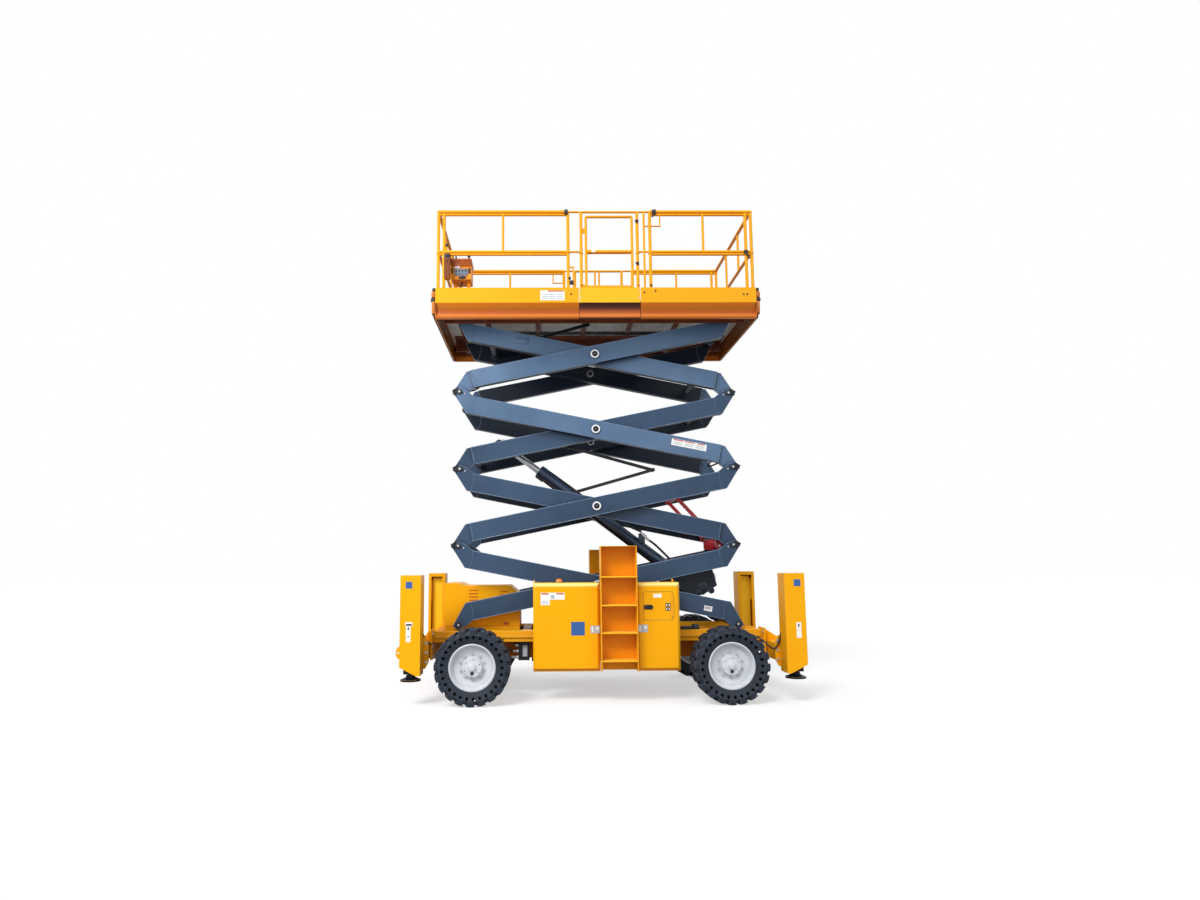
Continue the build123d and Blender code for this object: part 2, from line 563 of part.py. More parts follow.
# ================================================================ cabinets and ladders
CABS = (
    # side, x0 and x1 of one box, x of its lifting eye
    (-1, -762.0, -8.0, -758.0), (-1, 412.0, 900.0, 830.0),
    (1, -762.0, -8.0, -758.0), (1, 412.0, 900.0, 830.0),
)
CAB_EDGE = 28.0
EYE_T = 12.0
HINGE_R = 7.0
HINGE_X = DOOR[1] + DOOR_GAP
HINGE_Y = -CAB_FACE_Y - HINGE_R - 1
HINGE_Z = (DOOR[2] + 110, DOOR[3] - 110)
with BuildPart() as cabinets:
    for side, x0, x1, eye_x in CABS:
        with BuildPart(mode=Mode.PRIVATE) as cab:
            slab(x0, x1, side * CAB_IN_Y, side * CAB_FACE_Y, CAB_LOW, CAB_TOP)
            chamfer(cab.faces().sort_by(Axis.Y)[0 if side < 0 else -1].edges(), CAB_EDGE)
            slab(eye_x, eye_x + EYE_T, side * (CAB_FACE_Y - 120), side * (CAB_FACE_Y - 60),
                 CAB_TOP - 5, CAB_TOP + 38)
        add(cab.part)
    # pocket of the ground controls, behind the door, and the middle knuckle of its hinge
    cut_slab(DOOR[0] - DOOR_GAP, DOOR[1] + DOOR_GAP, -CAB_FACE_Y - 1, -CAB_FACE_Y + POCKET,
             DOOR[2] - DOOR_GAP, DOOR[3] + DOOR_GAP)
    slab(HINGE_X + 0.5, HINGE_X + 24, -CAB_FACE_Y - 5, -CAB_FACE_Y + 1, HINGE_Z[0], HINGE_Z[1])
    with Locations((HINGE_X, HINGE_Y, sum(HINGE_Z) / 2)):
        Cylinder(HINGE_R, HINGE_Z[1] - HINGE_Z[0])
export(cabinets, "cabinets")

with BuildPart() as control_door:
    slab(DOOR[0], DOOR[1], -CAB_FACE_Y + 0.5, -CAB_FACE_Y + DOOR_T, DOOR[2], DOOR[3])
    fillet(control_door.edges().filter_by(Axis.Y), 14)
    for z0, z1 in ((DOOR[2] + 40, HINGE_Z[0] - SEAT), (HINGE_Z[1] + SEAT, DOOR[3] - 40)):
        slab(HINGE_X - 24, HINGE_X - 0.5, -CAB_FACE_Y - 5, -CAB_FACE_Y + 1, z0, z1)
        with Locations((HINGE_X, HINGE_Y, (z0 + z1) / 2)):
            Cylinder(HINGE_R, z1 - z0)
export(control_door, "control_door")

with BuildPart() as ladders:
    for side in (-1, 1):
        x0, x1 = LADDER_X
        yf, yb = side * LADDER_FACE, side * (LADDER_FACE - LADDER_DEPTH)
        for xa in (x0, x1 - LADDER_WALL):
            slab(xa, xa + LADDER_WALL, yb, yf, LADDER_LOW, LADDER_TOP)
        slab(x0, x1, yb, yb + side * 6, LADDER_LOW, LADDER_TOP)
        slab(x0, x1, yb, yf, LADDER_TOP - 6, LADDER_TOP)
        for z in STEP_Z:
            slab(x0, x1, yb, yf, z - STEP_T / 2, z + STEP_T / 2)
        # foot on the frame's side beam
        slab(150, 210, side * CAB_IN_Y, yb + side * 3, *BEAM_Z)
export(ladders, "ladders")

COVER_HALF = 330.0
LOUVRES = (
    # x of the middle, length, lowest z, how many
    (-1500.0, 105.0, 1085.0, 5), (-1130.0, 95.0, 1190.0, 2),
)
with BuildPart() as front_cover:
    with BuildSketch(xz(COVER_HALF)):
        with BuildLine():
            Polyline((-1850, RAIL_TOP - 5), (-1850, 1325), (-1690, 1325), (-1600, 1290), (-1060, 1290),
                     (-935, 1190), (-935, RAIL_TOP - 5), (-1850, RAIL_TOP - 5))
        make_face()
    extrude(amount=2 * COVER_HALF)
    fillet(front_cover.edges().filter_by(Axis.Y).group_by(Axis.Z)[-1], 20)
    for side in (-1, 1):
        # pressed louvres: wedges that stand out of the side at their lower edge
        for x, length, z_low, count in LOUVRES:
            for k in range(count):
                z = z_low + 40 * k
                with BuildSketch(Plane(origin=(x - length / 2, side * COVER_HALF, z), x_dir=(0, side, 0),
                                       z_dir=(side, 0, 0))):
                    with BuildLine():
                        Polyline((-1, 0), (12, 0), (-1, side * 22), (-1, 0))
                    make_face()
                extrude(amount=side * length)
export(front_cover, "front_cover")

with BuildPart() as battery_block:
    slab(-790, 720, -BELLY_OUT + 14, BELLY_OUT - 14, 385, BEAM_Z[0])
    # valve block that hangs under the near rail
    slab(-945, -815, -485, -405, 415, RAIL_LOW - SEAT)
export(battery_block, "battery_block")

with BuildPart() as beacon:
    with Locations((-464, -800, CAB_TOP)):
        Cylinder(46, 10, align=(Align.CENTER, Align.CENTER, Align.MIN))
    with Locations((-464, -800, CAB_TOP + 10)):
        Sphere(40, arc_size1=0, align=(Align.CENTER, Align.CENTER, Align.MIN))
export(beacon, "beacon")

# ================================================================ platform
SLIDE_GAP = 0.4
SEAM_GAP = 6.0
TRACK_T = 15.0
DECK_EDGE = 860.0
BAND_T = 8.0
BAND_IN = PLAT_W / 2 - 45
EXT_T = 8.0
POST_Y = 891.0
POST_R = 19.0
THICK_R = 24.0
EXT_FLOOR = DECK_Z + DECK_T + SLIDE_GAP


def band_section(side):
    """Side profile of the platform: a toe board above an outward facing rolled channel."""
    w = PLAT_W / 2
    with BuildSketch(Plane.YZ, mode=Mode.PRIVATE) as s:
        with BuildLine():
            Polyline((BAND_IN, BAND_BOTTOM), (w, BAND_BOTTOM), (w, BAND_BOTTOM + 16))
            ThreePointArc((w, BAND_BOTTOM + 16), (BAND_IN + 14, (BAND_BOTTOM + BAND_BEND) / 2 + 10),
                          (w, BAND_BEND))
            Polyline((w, BAND_BEND), (w, TOE_TOP), (w - BAND_T, TOE_TOP), (w - BAND_T, BAND_BEND + 15),
                     (BAND_IN, BAND_BEND - 35), (BAND_IN, BAND_BOTTOM))
        make_face()
    return s.sketch if side > 0 else mirror(s.sketch, Plane.XZ)


def band(x0, x1, side):
    """The side profile from x0 to x1, added to the part being built."""
    add(extrude(band_section(side).moved(Location((x0, 0, 0))), amount=x1 - x0, mode=Mode.PRIVATE))


def bar_x(x0, x1, y, z, r):
    with Locations(Location(((x0 + x1) / 2, y, z), (0, 90, 0))):
        Cylinder(r, abs(x1 - x0))


def post(x, y, z0, z1, r=POST_R):
    with Locations((x, y, (z0 + z1) / 2)):
        Cylinder(r, z1 - z0)


CROSS_X = (-1700, -1350, -700, -100, 500, 1100, 1700)
with BuildPart() as platform_frame:
    for side in (-1, 1):
        # track: outer web and the flange that the pads of arm 4a run under
        slab(-1850, 1850, side * (OUTER_FACE + ARM_T + 15), side * (OUTER_FACE + ARM_T + 30), 4500, DECK_Z)
        slab(-1850, 1850, side * (INNER_FACE - 5), side * (OUTER_FACE + ARM_T + 30), TRACK_Z, DECK_Z)
        # lugs and pin of arm 4b
        for y0, y1 in ((INNER_FACE - 25, INNER_FACE - 5), (INNER_FACE + ARM_T + 5, INNER_FACE + ARM_T + 25)):
            slab(-PIVOT_X - 55, -PIVOT_X + 55, side * y0, side * y1, TOP_PIVOT_Z, DECK_Z)
            bar_y(-PIVOT_X, TOP_PIVOT_Z, 46, side * y0, side * y1)
        bar_y(-PIVOT_X, TOP_PIVOT_Z, PIN_R, side * (INNER_FACE - 25), side * (INNER_FACE + ARM_T + 25))
        # side beam
        slab(-1850, 1850, side * (DECK_EDGE - 12), side * DECK_EDGE, 4510, DECK_Z)
        for x in CROSS_X:
            slab(x - 30, x + 30, side * (OUTER_FACE + ARM_T + 29), side * (DECK_EDGE - 6), 4530, DECK_Z)
        # the middle section's own side profile
        band(SEAM_FRONT + SEAM_GAP, SEAM_REAR - SEAM_GAP, side)
        slab(SEAM_FRONT + 20, SEAM_REAR - 20, side * (DECK_EDGE - 2), side * (BAND_IN + 3), 4560, 4590)
    for x in CROSS_X:
        slab(x - 30, x + 30, -INNER_FACE + 4, INNER_FACE - 4, TRACK_Z - 5, DECK_Z)
export(platform_frame, "platform_frame")

with BuildPart() as platform_deck:
    slab(-1890, 1890, -DECK_EDGE, DECK_EDGE, DECK_Z, DECK_Z + DECK_T)
export(platform_deck, "platform_deck")

GATE_X = (-113.0, 443.0)
RAIL_POSTS = (-172.0, 508.0)
with BuildPart() as centre_rails:
    for side in (-1, 1):
        y = side * POST_Y
        for x in RAIL_POSTS:
            post(x, y, DECK_Z + 5, GUARD_TOP)
            # socket on the inside of the middle toe board
            slab(x - POST_R + 1, x + POST_R - 1, y, side * (PLAT_W / 2 - BAND_T), DECK_Z + 5, DECK_Z + 65)
        if side > 0:
            for z in (GUARD_TOP, GUARD_MID):
                bar_x(*RAIL_POSTS, y, z, POST_R - 3)
            for x in (120.0, 180.0):
                post(x, y, GUARD_MID, GUARD_TOP, 14)
        else:
            bar_x(*RAIL_POSTS, y, GUARD_TOP, POST_R - 5)
export(centre_rails, "centre_rails")

GATE_LOW = DECK_Z + 90
GATE_TOP = GUARD_TOP - 60
with BuildPart() as gate:
    for x in GATE_X:
        post(x, -POST_Y, GATE_LOW, GATE_TOP, 16)
    for z in (GATE_TOP, GUARD_MID, GATE_LOW):
        bar_x(*GATE_X, -POST_Y, z, 16)
    slab(*GATE_X, -POST_Y - 4, -POST_Y + 4, GATE_LOW, GATE_LOW + 120)
    for z in (GATE_LOW + 100, GATE_TOP - 180):
        slab(RAIL_POSTS[0] + POST_R + SEAT, GATE_X[0], -POST_Y - 8, -POST_Y + 8, z - 30, z + 30)
export(gate, "gate")

UNDER_R = 15.0
HOOP_LOW = 5610.0
HOOP_R = 9.0
EXTENSIONS = (
    # name, end x, seam x, double post, short post, inner post, handle, side of the handle
    ("extension_front", -PLAT_HALF, SEAM_FRONT, (-1890.0, -1822.0), -1114.0, -330.0, (-490.0, -345.0), 1),
    ("extension_rear", PLAT_HALF, SEAM_REAR, (1890.0, 1822.0), 1306.0, 662.0, (590.0, 785.0), -1),
)
for name, x_end, x_seam, doubles, short, inner, hoop, hoop_side in EXTENSIONS:
    sx = 1 if x_end > 0 else -1
    with BuildPart() as ext:
        lo, hi = sorted((x_end, x_seam))
        slab(lo, hi, -PLAT_W / 2 + 4, PLAT_W / 2 - 4, EXT_FLOOR, EXT_FLOOR + EXT_T)
        # end profile, closing the side profiles
        slab(x_end, x_end - sx * 10, -PLAT_W / 2, PLAT_W / 2, BAND_BOTTOM, TOE_TOP)
        for side in (-1, 1):
            y = side * POST_Y
            band(lo, hi, side)
            for x in doubles + (inner,):
                post(x, y, EXT_FLOOR, GUARD_TOP)
            for z, r in ((GUARD_TOP, THICK_R), (GUARD_MID, THICK_R - 4)):
                bar_x(doubles[0], inner, y, z, r)
                bar_x(doubles[0], inner, y, z - r - UNDER_R + 3, UNDER_R)
            post(short, y, GUARD_MID, GUARD_TOP, 15)
        for z, r in ((GUARD_TOP, THICK_R - 2), (GUARD_MID, THICK_R - 4)):
            bar_y(doubles[0], z, r, -POST_Y, POST_Y)
        for y in (-300.0, 300.0):
            post(doubles[0], y, GUARD_MID, GUARD_TOP, 15)
        # pull handle of the slide, hanging from the upper rail
        y = hoop_side * POST_Y
        for x in hoop:
            post(x, y, HOOP_LOW, GUARD_TOP, HOOP_R)
            with Locations((x, y, HOOP_LOW)):
                Sphere(HOOP_R)
        bar_x(*hoop, y, HOOP_LOW, HOOP_R)
        if name == "extension_front":
            # box for the papers, on the corner posts
            slab(-1816, -1748, -POST_Y - 25, -POST_Y + 55, 4957, 5250)
            post(-1786, -POST_Y, GUARD_MID, GUARD_MID + 70, 9)
    export(ext, name)

BOX = (-1750.0, -1505.0, -800.0, -560.0, 4980.0, 5230.0)
with BuildPart() as control_box:
    slab(BOX[0], BOX[1], BOX[2], BOX[3], BOX[4], BOX[5])
    fillet(control_box.edges().filter_by(Axis.Y), 18)
    # stand down to the extension floor
    for x in (BOX[0] + 40, BOX[1] - 40):
        slab(x - 20, x + 20, -700, -660, EXT_FLOOR + EXT_T, BOX[4] + 5)
export(control_box, "control_box")

# ================================================================ prop and hose links
hinge = arm_point(2, "b", PROP_ALONG, PROP_ABOVE)
prop_end = (hinge[0] + PROP_L * math.cos(math.radians(PROP_DEG)), hinge[1] + PROP_L * math.sin(math.radians(PROP_DEG)))


def link_bar(p, q, y, h, t, r_end):
    """A flat bar from p to q in the XZ plane with round ends, centred on Y."""
    length, deg = math.dist(p, q), math.degrees(math.atan2(q[1] - p[1], q[0] - p[0]))
    with BuildSketch(xz(y + t / 2), mode=Mode.PRIVATE) as outline:
        with Locations(Location(((p[0] + q[0]) / 2, (p[1] + q[1]) / 2, 0), (0, 0, deg))):
            Rectangle(length, h)
        with Locations(p, q):
            Circle(r_end)
    add(extrude(outline.sketch, amount=t, mode=Mode.PRIVATE))


with BuildPart() as safety_prop:
    for side in (-1, 1):
        link_bar(hinge, prop_end, side * PROP_Y, 42, 30, 36)
    bar_y(*prop_end, 15, -PROP_Y, PROP_Y)
    bar_y(*hinge, PROP_SHAFT_R + PIN_CLEAR, -PROP_Y - 40, PROP_Y + 40, Mode.SUBTRACT)
export(safety_prop, "safety_prop")

pin_a = arm_point(2, "b", ARM_LINE - LINK_L, 0)
pin_b = arm_point(3, "a", LINK_L, 0)
knee = (-PIVOT_X + 2 * LINK_L * math.cos(math.radians(REST_DEG)), PIVOT_Z + 2 * LEVEL_RISE)
pin_c = arm_point(4, "b", ARM_LINE - TOP_LINK_L, 0)
link_top = (-PIVOT_X + 2 * TOP_LINK_L * math.cos(math.radians(REST_DEG)), TOP_PIVOT_Z)
LINKS = (
    # name, foot, head, y, knee pin
    ("hose_link_lower", pin_a, knee, -LINK_Y - 14, "head"),
    ("hose_link_upper", knee, pin_b, -LINK_Y + 14, "eye"),
    ("hose_link_top", pin_c, link_top, -LINK_Y + 14, "roller"),
)
for name, foot, head, y, extra in LINKS:
    with BuildPart() as link:
        link_bar(foot, head, y, LINK_H, LINK_T, 24)
        if extra == "head":
            bar_y(*foot, LINK_PIN_R + PIN_CLEAR, y - 40, y + 40, Mode.SUBTRACT)
            bar_y(*head, LINK_PIN_R, -LINK_Y + 32, y)
        else:
            bar_y(*foot, LINK_PIN_R + PIN_CLEAR, y - 40, y + 40, Mode.SUBTRACT)
            if extra == "eye":
                bar_y(*head, LINK_PIN_R + PIN_CLEAR, y - 40, y + 40, Mode.SUBTRACT)
    export(link, name)
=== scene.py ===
"""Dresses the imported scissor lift: finishes, small fittings, studio and camera."""

from __future__ import annotations

import json
import logging
import math
from collections.abc import Iterable, Sequence
from dataclasses import dataclass, replace
from enum import Enum

import bmesh
import bpy
from mathutils import Matrix, Vector

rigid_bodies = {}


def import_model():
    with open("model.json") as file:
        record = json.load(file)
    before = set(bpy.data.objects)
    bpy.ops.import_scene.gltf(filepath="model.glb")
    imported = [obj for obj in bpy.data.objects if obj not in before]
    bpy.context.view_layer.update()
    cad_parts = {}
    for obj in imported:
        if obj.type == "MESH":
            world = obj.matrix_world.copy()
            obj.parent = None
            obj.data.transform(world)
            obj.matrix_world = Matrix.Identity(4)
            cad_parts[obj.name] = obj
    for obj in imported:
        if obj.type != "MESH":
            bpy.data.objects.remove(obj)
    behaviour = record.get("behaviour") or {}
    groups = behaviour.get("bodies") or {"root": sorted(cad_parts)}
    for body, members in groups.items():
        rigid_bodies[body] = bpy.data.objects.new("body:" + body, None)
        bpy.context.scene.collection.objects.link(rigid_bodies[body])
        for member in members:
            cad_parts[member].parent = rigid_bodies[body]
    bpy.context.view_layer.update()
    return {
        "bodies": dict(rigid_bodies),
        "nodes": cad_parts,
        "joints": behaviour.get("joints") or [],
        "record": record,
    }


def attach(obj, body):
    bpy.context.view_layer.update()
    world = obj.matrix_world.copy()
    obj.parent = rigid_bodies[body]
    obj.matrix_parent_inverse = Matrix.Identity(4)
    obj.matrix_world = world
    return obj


log = logging.getLogger("scissor_lift")

Point = tuple[float, float, float]
Profile = tuple[tuple[float, float], ...]
Spot = Sequence[float]
MM = 0.001
ENDS = ("front", "rear")
UP = (0, 0, 1)
SIDES: tuple[tuple[str, int], ...] = (("near", -1), ("far", 1))


# ---- materials
def srgb(code: str, alpha: float = 1.0) -> tuple[float, float, float, float]:
    """Turn a hex sRGB colour into linear values.

    Args:
        code: Six hex digits after a hash.
        alpha: Opacity, kept as it is.

    Returns:
        Linear red, green, blue and alpha.
    """
    parts = [int(code[i : i + 2], 16) / 255 for i in (1, 3, 5)]
    linear = [c / 12.92 if c <= 0.04045 else ((c + 0.055) / 1.055) ** 2.4 for c in parts]
    return (linear[0], linear[1], linear[2], alpha)


Socket = bpy.types.NodeSocket
Tree = bpy.types.NodeTree
Mesh = bmesh.types.BMesh


def add_node(tree: Tree, kind: str, settings: dict | None = None,
             inputs: dict | None = None) -> bpy.types.Node:
    """Add a shader node with its settings and its links or values.

    Args:
        tree: The node tree to add to.
        kind: The node's type name after "ShaderNode".
        settings: Attributes set on the node.
        inputs: Input name or index to a value or to another node's output socket.

    Returns:
        The new node.
    """
    new = tree.nodes.new("ShaderNode" + kind)
    for key, value in (settings or {}).items():
        setattr(new, key, value)
    for key, value in (inputs or {}).items():
        if isinstance(value, Socket):
            tree.links.new(value, new.inputs[key])
        else:
            new.inputs[key].default_value = value
    return new


# Cosine of the turn at an edge, and openness of a corner, between which the pale edge (wear and painted
# highlight) and the painted corner shade build up.
EDGE_TURN = (0.99, 0.8)
CORNER_OPEN = (0.95, 0.35)
# Slope of a face (Z of its normal) over which the painted shade of the faces that look down fades in.
FACE_DOWN = (0.25, -0.65)


def per_metre(size_mm: float) -> float:
    """Pattern scale, in repeats per metre, of a feature of this size."""
    return 1000.0 / size_mm


def add_ramp(tree: Tree, value: Socket, start: float, end: float, low: float = 0.0,
             high: float = 1.0) -> Socket:
    """Map a value from one range to another and hold it at the ends.

    Args:
        tree: The node tree to add to.
        value: The value.
        start: Value that gives low.
        end: Value that gives high.
        low: Result at the start.
        high: Result at the end.

    Returns:
        The mapped value.
    """
    return add_node(tree, "MapRange", inputs={
        "Value": value, "From Min": start, "From Max": end, "To Min": low, "To Max": high}).outputs[0]


@dataclass(frozen=True)
class Zone:
    """A box of the machine's frame given another colour: a second paint in some boxes, painted shade and
    painted highlight in others.

    Attributes:
        low: Lower corner.
        high: Upper corner.
        colour: Colour inside.
        soft: Width in metres over which it fades at its edges.
    """

    low: Point
    high: Point
    colour: str
    soft: float = 0.0004


class Pattern(Enum):
    """How a surface was made, where that shows."""

    SPRAYED = "sprayed"
    BRUSHED = "brushed"
    TREAD_PLATE = "tread plate"
    GALVANISED = "galvanised"


@dataclass(frozen=True)
class Finish:
    """One surface finish, built as a node material.

    Attributes:
        name: Plain name of the material.
        colour: Main colour.
        second: Colour of the soft patches.
        patch_mm: Size of the patches.
        patch_share: How strongly the patches show.
        roughness: Mean roughness.
        roughness_swing: Spread of the roughness over the patches.
        grain_mm: Size of the fine relief.
        grain_depth_mm: Height of the fine relief.
        metallic: One for bare metal.
        ior: Index of refraction of a non-metal.
        coat: Weight of a clear coat.
        edge: Paler colour along the edges, partly wear and partly a painted highlight.
        edge_mm: Width of that edge.
        edge_share: How strongly the edge shows.
        grime: Colour of the dust low down on the machine.
        grime_top: Height in metres at which the dust ends.
        pattern: How the surface was made.
        zones: Places with another colour.
        crevice: Colour of the painted shade in corners.
        crevice_mm: How far from a corner that painted shade reaches.
        crevice_share: How strongly it shows.
        specular: Strength of the paint's mirror reflection; one half is bare lacquer.
        under: Colour of the painted shade on the faces that look down.
    """

    name: str
    colour: str
    second: str
    patch_mm: float = 500.0
    patch_share: float = 0.5
    roughness: float = 0.4
    roughness_swing: float = 0.12
    grain_mm: float = 5.0
    grain_depth_mm: float = 0.05
    metallic: float = 0.0
    ior: float = 1.5
    coat: float = 0.0
    edge: str | None = None
    edge_mm: float = 5.0
    edge_share: float = 0.6
    grime: str | None = None
    grime_top: float = 0.7
    pattern: Pattern = Pattern.SPRAYED
    zones: tuple[Zone, ...] = ()
    crevice: str | None = None
    crevice_mm: float = 45.0
    crevice_share: float = 0.6
    specular: float = 0.5
    under: str | None = None

    def build(self) -> bpy.types.Material:
        """Build the material, once.

        Returns:
            The material of this finish.
        """
        if self.name in bpy.data.materials:
            return bpy.data.materials[self.name]
        material = bpy.data.materials.new(self.name)
        material.use_nodes = True
        tree = material.node_tree
        tree.nodes.clear()
        place = add_node(tree, "TexCoord").outputs["Object"]
        patches = add_node(tree, "TexNoise", inputs={
            "Vector": place, "Scale": per_metre(self.patch_mm), "Detail": 4.0, "Roughness": 0.55})
        spread = add_ramp(tree, patches.outputs["Fac"], 0.35, 0.7, 0.0, self.patch_share)
        colour = self._mix(tree, spread, srgb(self.colour), srgb(self.second))
        for zone in self.zones:
            colour = self._mix(tree, self._inside(tree, place, zone), colour, srgb(zone.colour))
        # painted shade: faces that look down take the under colour
        if self.under:
            faces = add_node(tree, "NewGeometry")
            upward = add_node(tree, "SeparateXYZ", inputs={0: faces.outputs["Normal"]})
            below = add_ramp(tree, upward.outputs[2], *FACE_DOWN)
            colour = self._mix(tree, below, colour, srgb(self.under))
        relief, height = self._relief(tree, place)
        if self.pattern is Pattern.GALVANISED:
            colour = self._mix(tree, height, colour, srgb(self.second))
        # paler edges found with the bevel node: partly wear, partly a painted highlight
        if self.edge:
            rounded = add_node(tree, "Bevel", {"samples": 4}, {"Radius": self.edge_mm * MM})
            sharp = add_node(tree, "NewGeometry")
            turn = add_node(tree, "VectorMath", {"operation": "DOT_PRODUCT"}, {
                0: rounded.outputs[0], 1: sharp.outputs["True Normal"]})
            wear_and_highlight = add_ramp(tree, turn.outputs["Value"], *EDGE_TURN, 0.0, self.edge_share)
            colour = self._mix(tree, wear_and_highlight, colour, srgb(self.edge))
            tree.links.new(rounded.outputs[0], relief.inputs["Normal"])
        # painted shade: corners found by ambient occlusion take the crevice colour
        if self.crevice:
            near = add_node(tree, "AmbientOcclusion", {"samples": 6},
                            {"Distance": self.crevice_mm * MM})
            corner_shade = add_ramp(tree, near.outputs["AO"], *CORNER_OPEN, 0.0, self.crevice_share)
            colour = self._mix(tree, corner_shade, colour, srgb(self.crevice))
        if self.grime:
            colour = self._mix(tree, self._grime(tree, place), colour, srgb(self.grime))
        rough = add_ramp(tree, patches.outputs["Fac"], 0.3, 0.75,
                         max(0.03, self.roughness - self.roughness_swing),
                         min(1.0, self.roughness + self.roughness_swing))
        shader = add_node(tree, "BsdfPrincipled", inputs={
            "Base Color": colour, "Roughness": rough, "Metallic": self.metallic, "IOR": self.ior,
            "Coat Weight": self.coat, "Coat Roughness": 0.15, "Specular IOR Level": self.specular,
            "Normal": relief.outputs[0]})
        add_node(tree, "OutputMaterial", inputs={"Surface": shader.outputs[0]})
        return material

    def _mix(self, tree: Tree, share: Socket | float, first: object, second: object) -> Socket:
        """Mix two colours by a share and return the colour socket."""
        mixed = add_node(tree, "Mix", {"data_type": "RGBA"}, {0: share, 6: first, 7: second})
        return mixed.outputs[2]

    def _inside(self, tree: Tree, place: Socket, zone: Zone) -> Socket:
        """Build the share of a zone: one inside it and zero outside.

        Args:
            tree: The node tree.
            place: The object coordinates.
            zone: The box.

        Returns:
            The share.
        """
        centre = [(a + b) / 2 for a, b in zip(zone.low, zone.high)]
        half = [(b - a) / 2 for a, b in zip(zone.low, zone.high)]
        offset = add_node(tree, "VectorMath", {"operation": "SUBTRACT"},
                          {0: place, 1: centre})
        apart = add_node(tree, "VectorMath", {"operation": "ABSOLUTE"},
                         {0: offset.outputs[0]})
        axes = add_node(tree, "SeparateXYZ", inputs={0: apart.outputs[0]})
        inside: Socket | float = 1.0
        for k in range(3):
            fade = min(zone.soft, half[k]) / 2
            near = add_ramp(tree, axes.outputs[k], half[k] + fade, half[k] - fade)
            inside = add_node(tree, "Math", {"operation": "MULTIPLY"},
                              {0: inside, 1: near}).outputs[0]
        return inside

    def _grime(self, tree: Tree, place: Socket) -> Socket:
        """Build the share of dust, thick near the ground and broken up by noise.

        Args:
            tree: The node tree.
            place: The object coordinates.

        Returns:
            The share.
        """
        axes = add_node(tree, "SeparateXYZ", inputs={0: place})
        low = add_ramp(tree, axes.outputs[2], self.grime_top, 0.05, 0.0, 0.55)
        broken = add_node(tree, "TexNoise", inputs={
            "Vector": place, "Scale": per_metre(60.0), "Detail": 6.0, "Roughness": 0.7})
        return add_node(tree, "Math", {"operation": "MULTIPLY"},
                        {0: low, 1: broken.outputs["Fac"]}).outputs[0]

    def _relief(self, tree: Tree, place: Socket) -> tuple[bpy.types.Node, Socket]:
        """Build the fine relief.

        Args:
            tree: The node tree.
            place: The object coordinates.

        Returns:
            The bump node and the height socket.
        """
        if self.pattern is Pattern.BRUSHED:
            # fine scratches run along the piece, so the pattern is drawn out along X
            drawn = add_node(tree, "Mapping", inputs={"Vector": place, "Scale": (0.04, 1.0, 1.0)})
            height = add_node(tree, "TexNoise", inputs={
                "Vector": drawn.outputs[0], "Scale": per_metre(self.grain_mm), "Detail": 3.0}).outputs["Fac"]
        elif self.pattern is Pattern.GALVANISED:
            cells = add_node(tree, "TexVoronoi", inputs={
                "Vector": place, "Scale": per_metre(self.grain_mm)})
            height = add_ramp(tree, cells.outputs["Distance"], 0.1, 0.6)
        elif self.pattern is Pattern.TREAD_PLATE:
            height = self._tread_plate(tree, place)
        else:
            height = add_node(tree, "TexNoise", inputs={
                "Vector": place, "Scale": per_metre(self.grain_mm), "Detail": 2.0}).outputs["Fac"]
        bump = add_node(tree, "Bump", inputs={
            "Strength": 1.0, "Distance": self.grain_depth_mm * MM, "Height": height})
        return bump, height

    def _tread_plate(self, tree: Tree, place: Socket) -> Socket:
        """Build the raised bars of a chequered floor plate, in two crossing directions.

        Args:
            tree: The node tree.
            place: The object coordinates.

        Returns:
            The height.
        """
        bars: Socket | None = None
        for turn in (45.0, -45.0):
            laid = add_node(tree, "Mapping", inputs={
                "Vector": place, "Rotation": (0.0, 0.0, math.radians(turn)),
                "Scale": (per_metre(self.grain_mm), per_metre(self.grain_mm * 2.2), 1.0)})
            brick = add_node(
                tree, "TexVoronoi", {"distance": "MINKOWSKI", "voronoi_dimensions": "2D"},
                {"Vector": laid.outputs[0], "Scale": 1.0, "Randomness": 0.0, "Exponent": 0.6})
            raised = add_ramp(tree, brick.outputs["Distance"], 0.35, 0.28)
            bars = raised if bars is None else add_node(
                tree, "Math", {"operation": "MAXIMUM"}, {0: bars, 1: raised}).outputs[0]
        return bars


# Two-pack enamel over sheet steel: even, with a light orange peel; paler edges, partly wear and partly
# painted highlight; painted shade in the corners and on the faces that look down.
SIGNAL_YELLOW = Finish(
    "yellow_enamel", "#FDBA02", "#F8AE00", 900, 0.7, 0.34, 0.08, 7, 0.08, specular=0.16, edge="#FFD976",
    edge_mm=7, edge_share=0.8, crevice="#D98404", crevice_mm=35, under="#E89004")
# Cabinets: painted highlight on the bent edge along the top, which catches the sky, and painted shade on the
# one along the floor, which turns away from it.
CABINET_YELLOW = replace(SIGNAL_YELLOW, name="cabinet_enamel", zones=(
    Zone((-0.77, -0.97, 1.29), (0.96, 0.97, 1.332), "#FFE68A", 0.01),
    Zone((-0.77, -0.97, 0.34), (0.96, 0.97, 0.384), "#D98A08", 0.01)))
# The engine cover takes the same enamel, with painted shade, a deeper orange, where it faces away from the
# sky and in its corners.
COVER_YELLOW = Finish(
    "cover_enamel", "#FFB806", "#FAAC02", 700, 0.7, 0.36, 0.08, 7, 0.08, specular=0.16, edge="#FFD36A",
    edge_mm=6, edge_share=0.6, crevice="#D07E06", crevice_mm=30, under="#E08A08")
# Guard rails are sprayed thinly over tube: clean yellow above, with painted shade, browner, where the tube
# turns under.
RAIL_PAINT = {"colour": "#FFBC18", "second": "#F8B00E", "patch_mm": 500, "patch_share": 0.6,
              "roughness": 0.36, "roughness_swing": 0.08, "grain_mm": 40, "grain_depth_mm": 0.02,
              "specular": 0.2, "under": "#D97A14"}
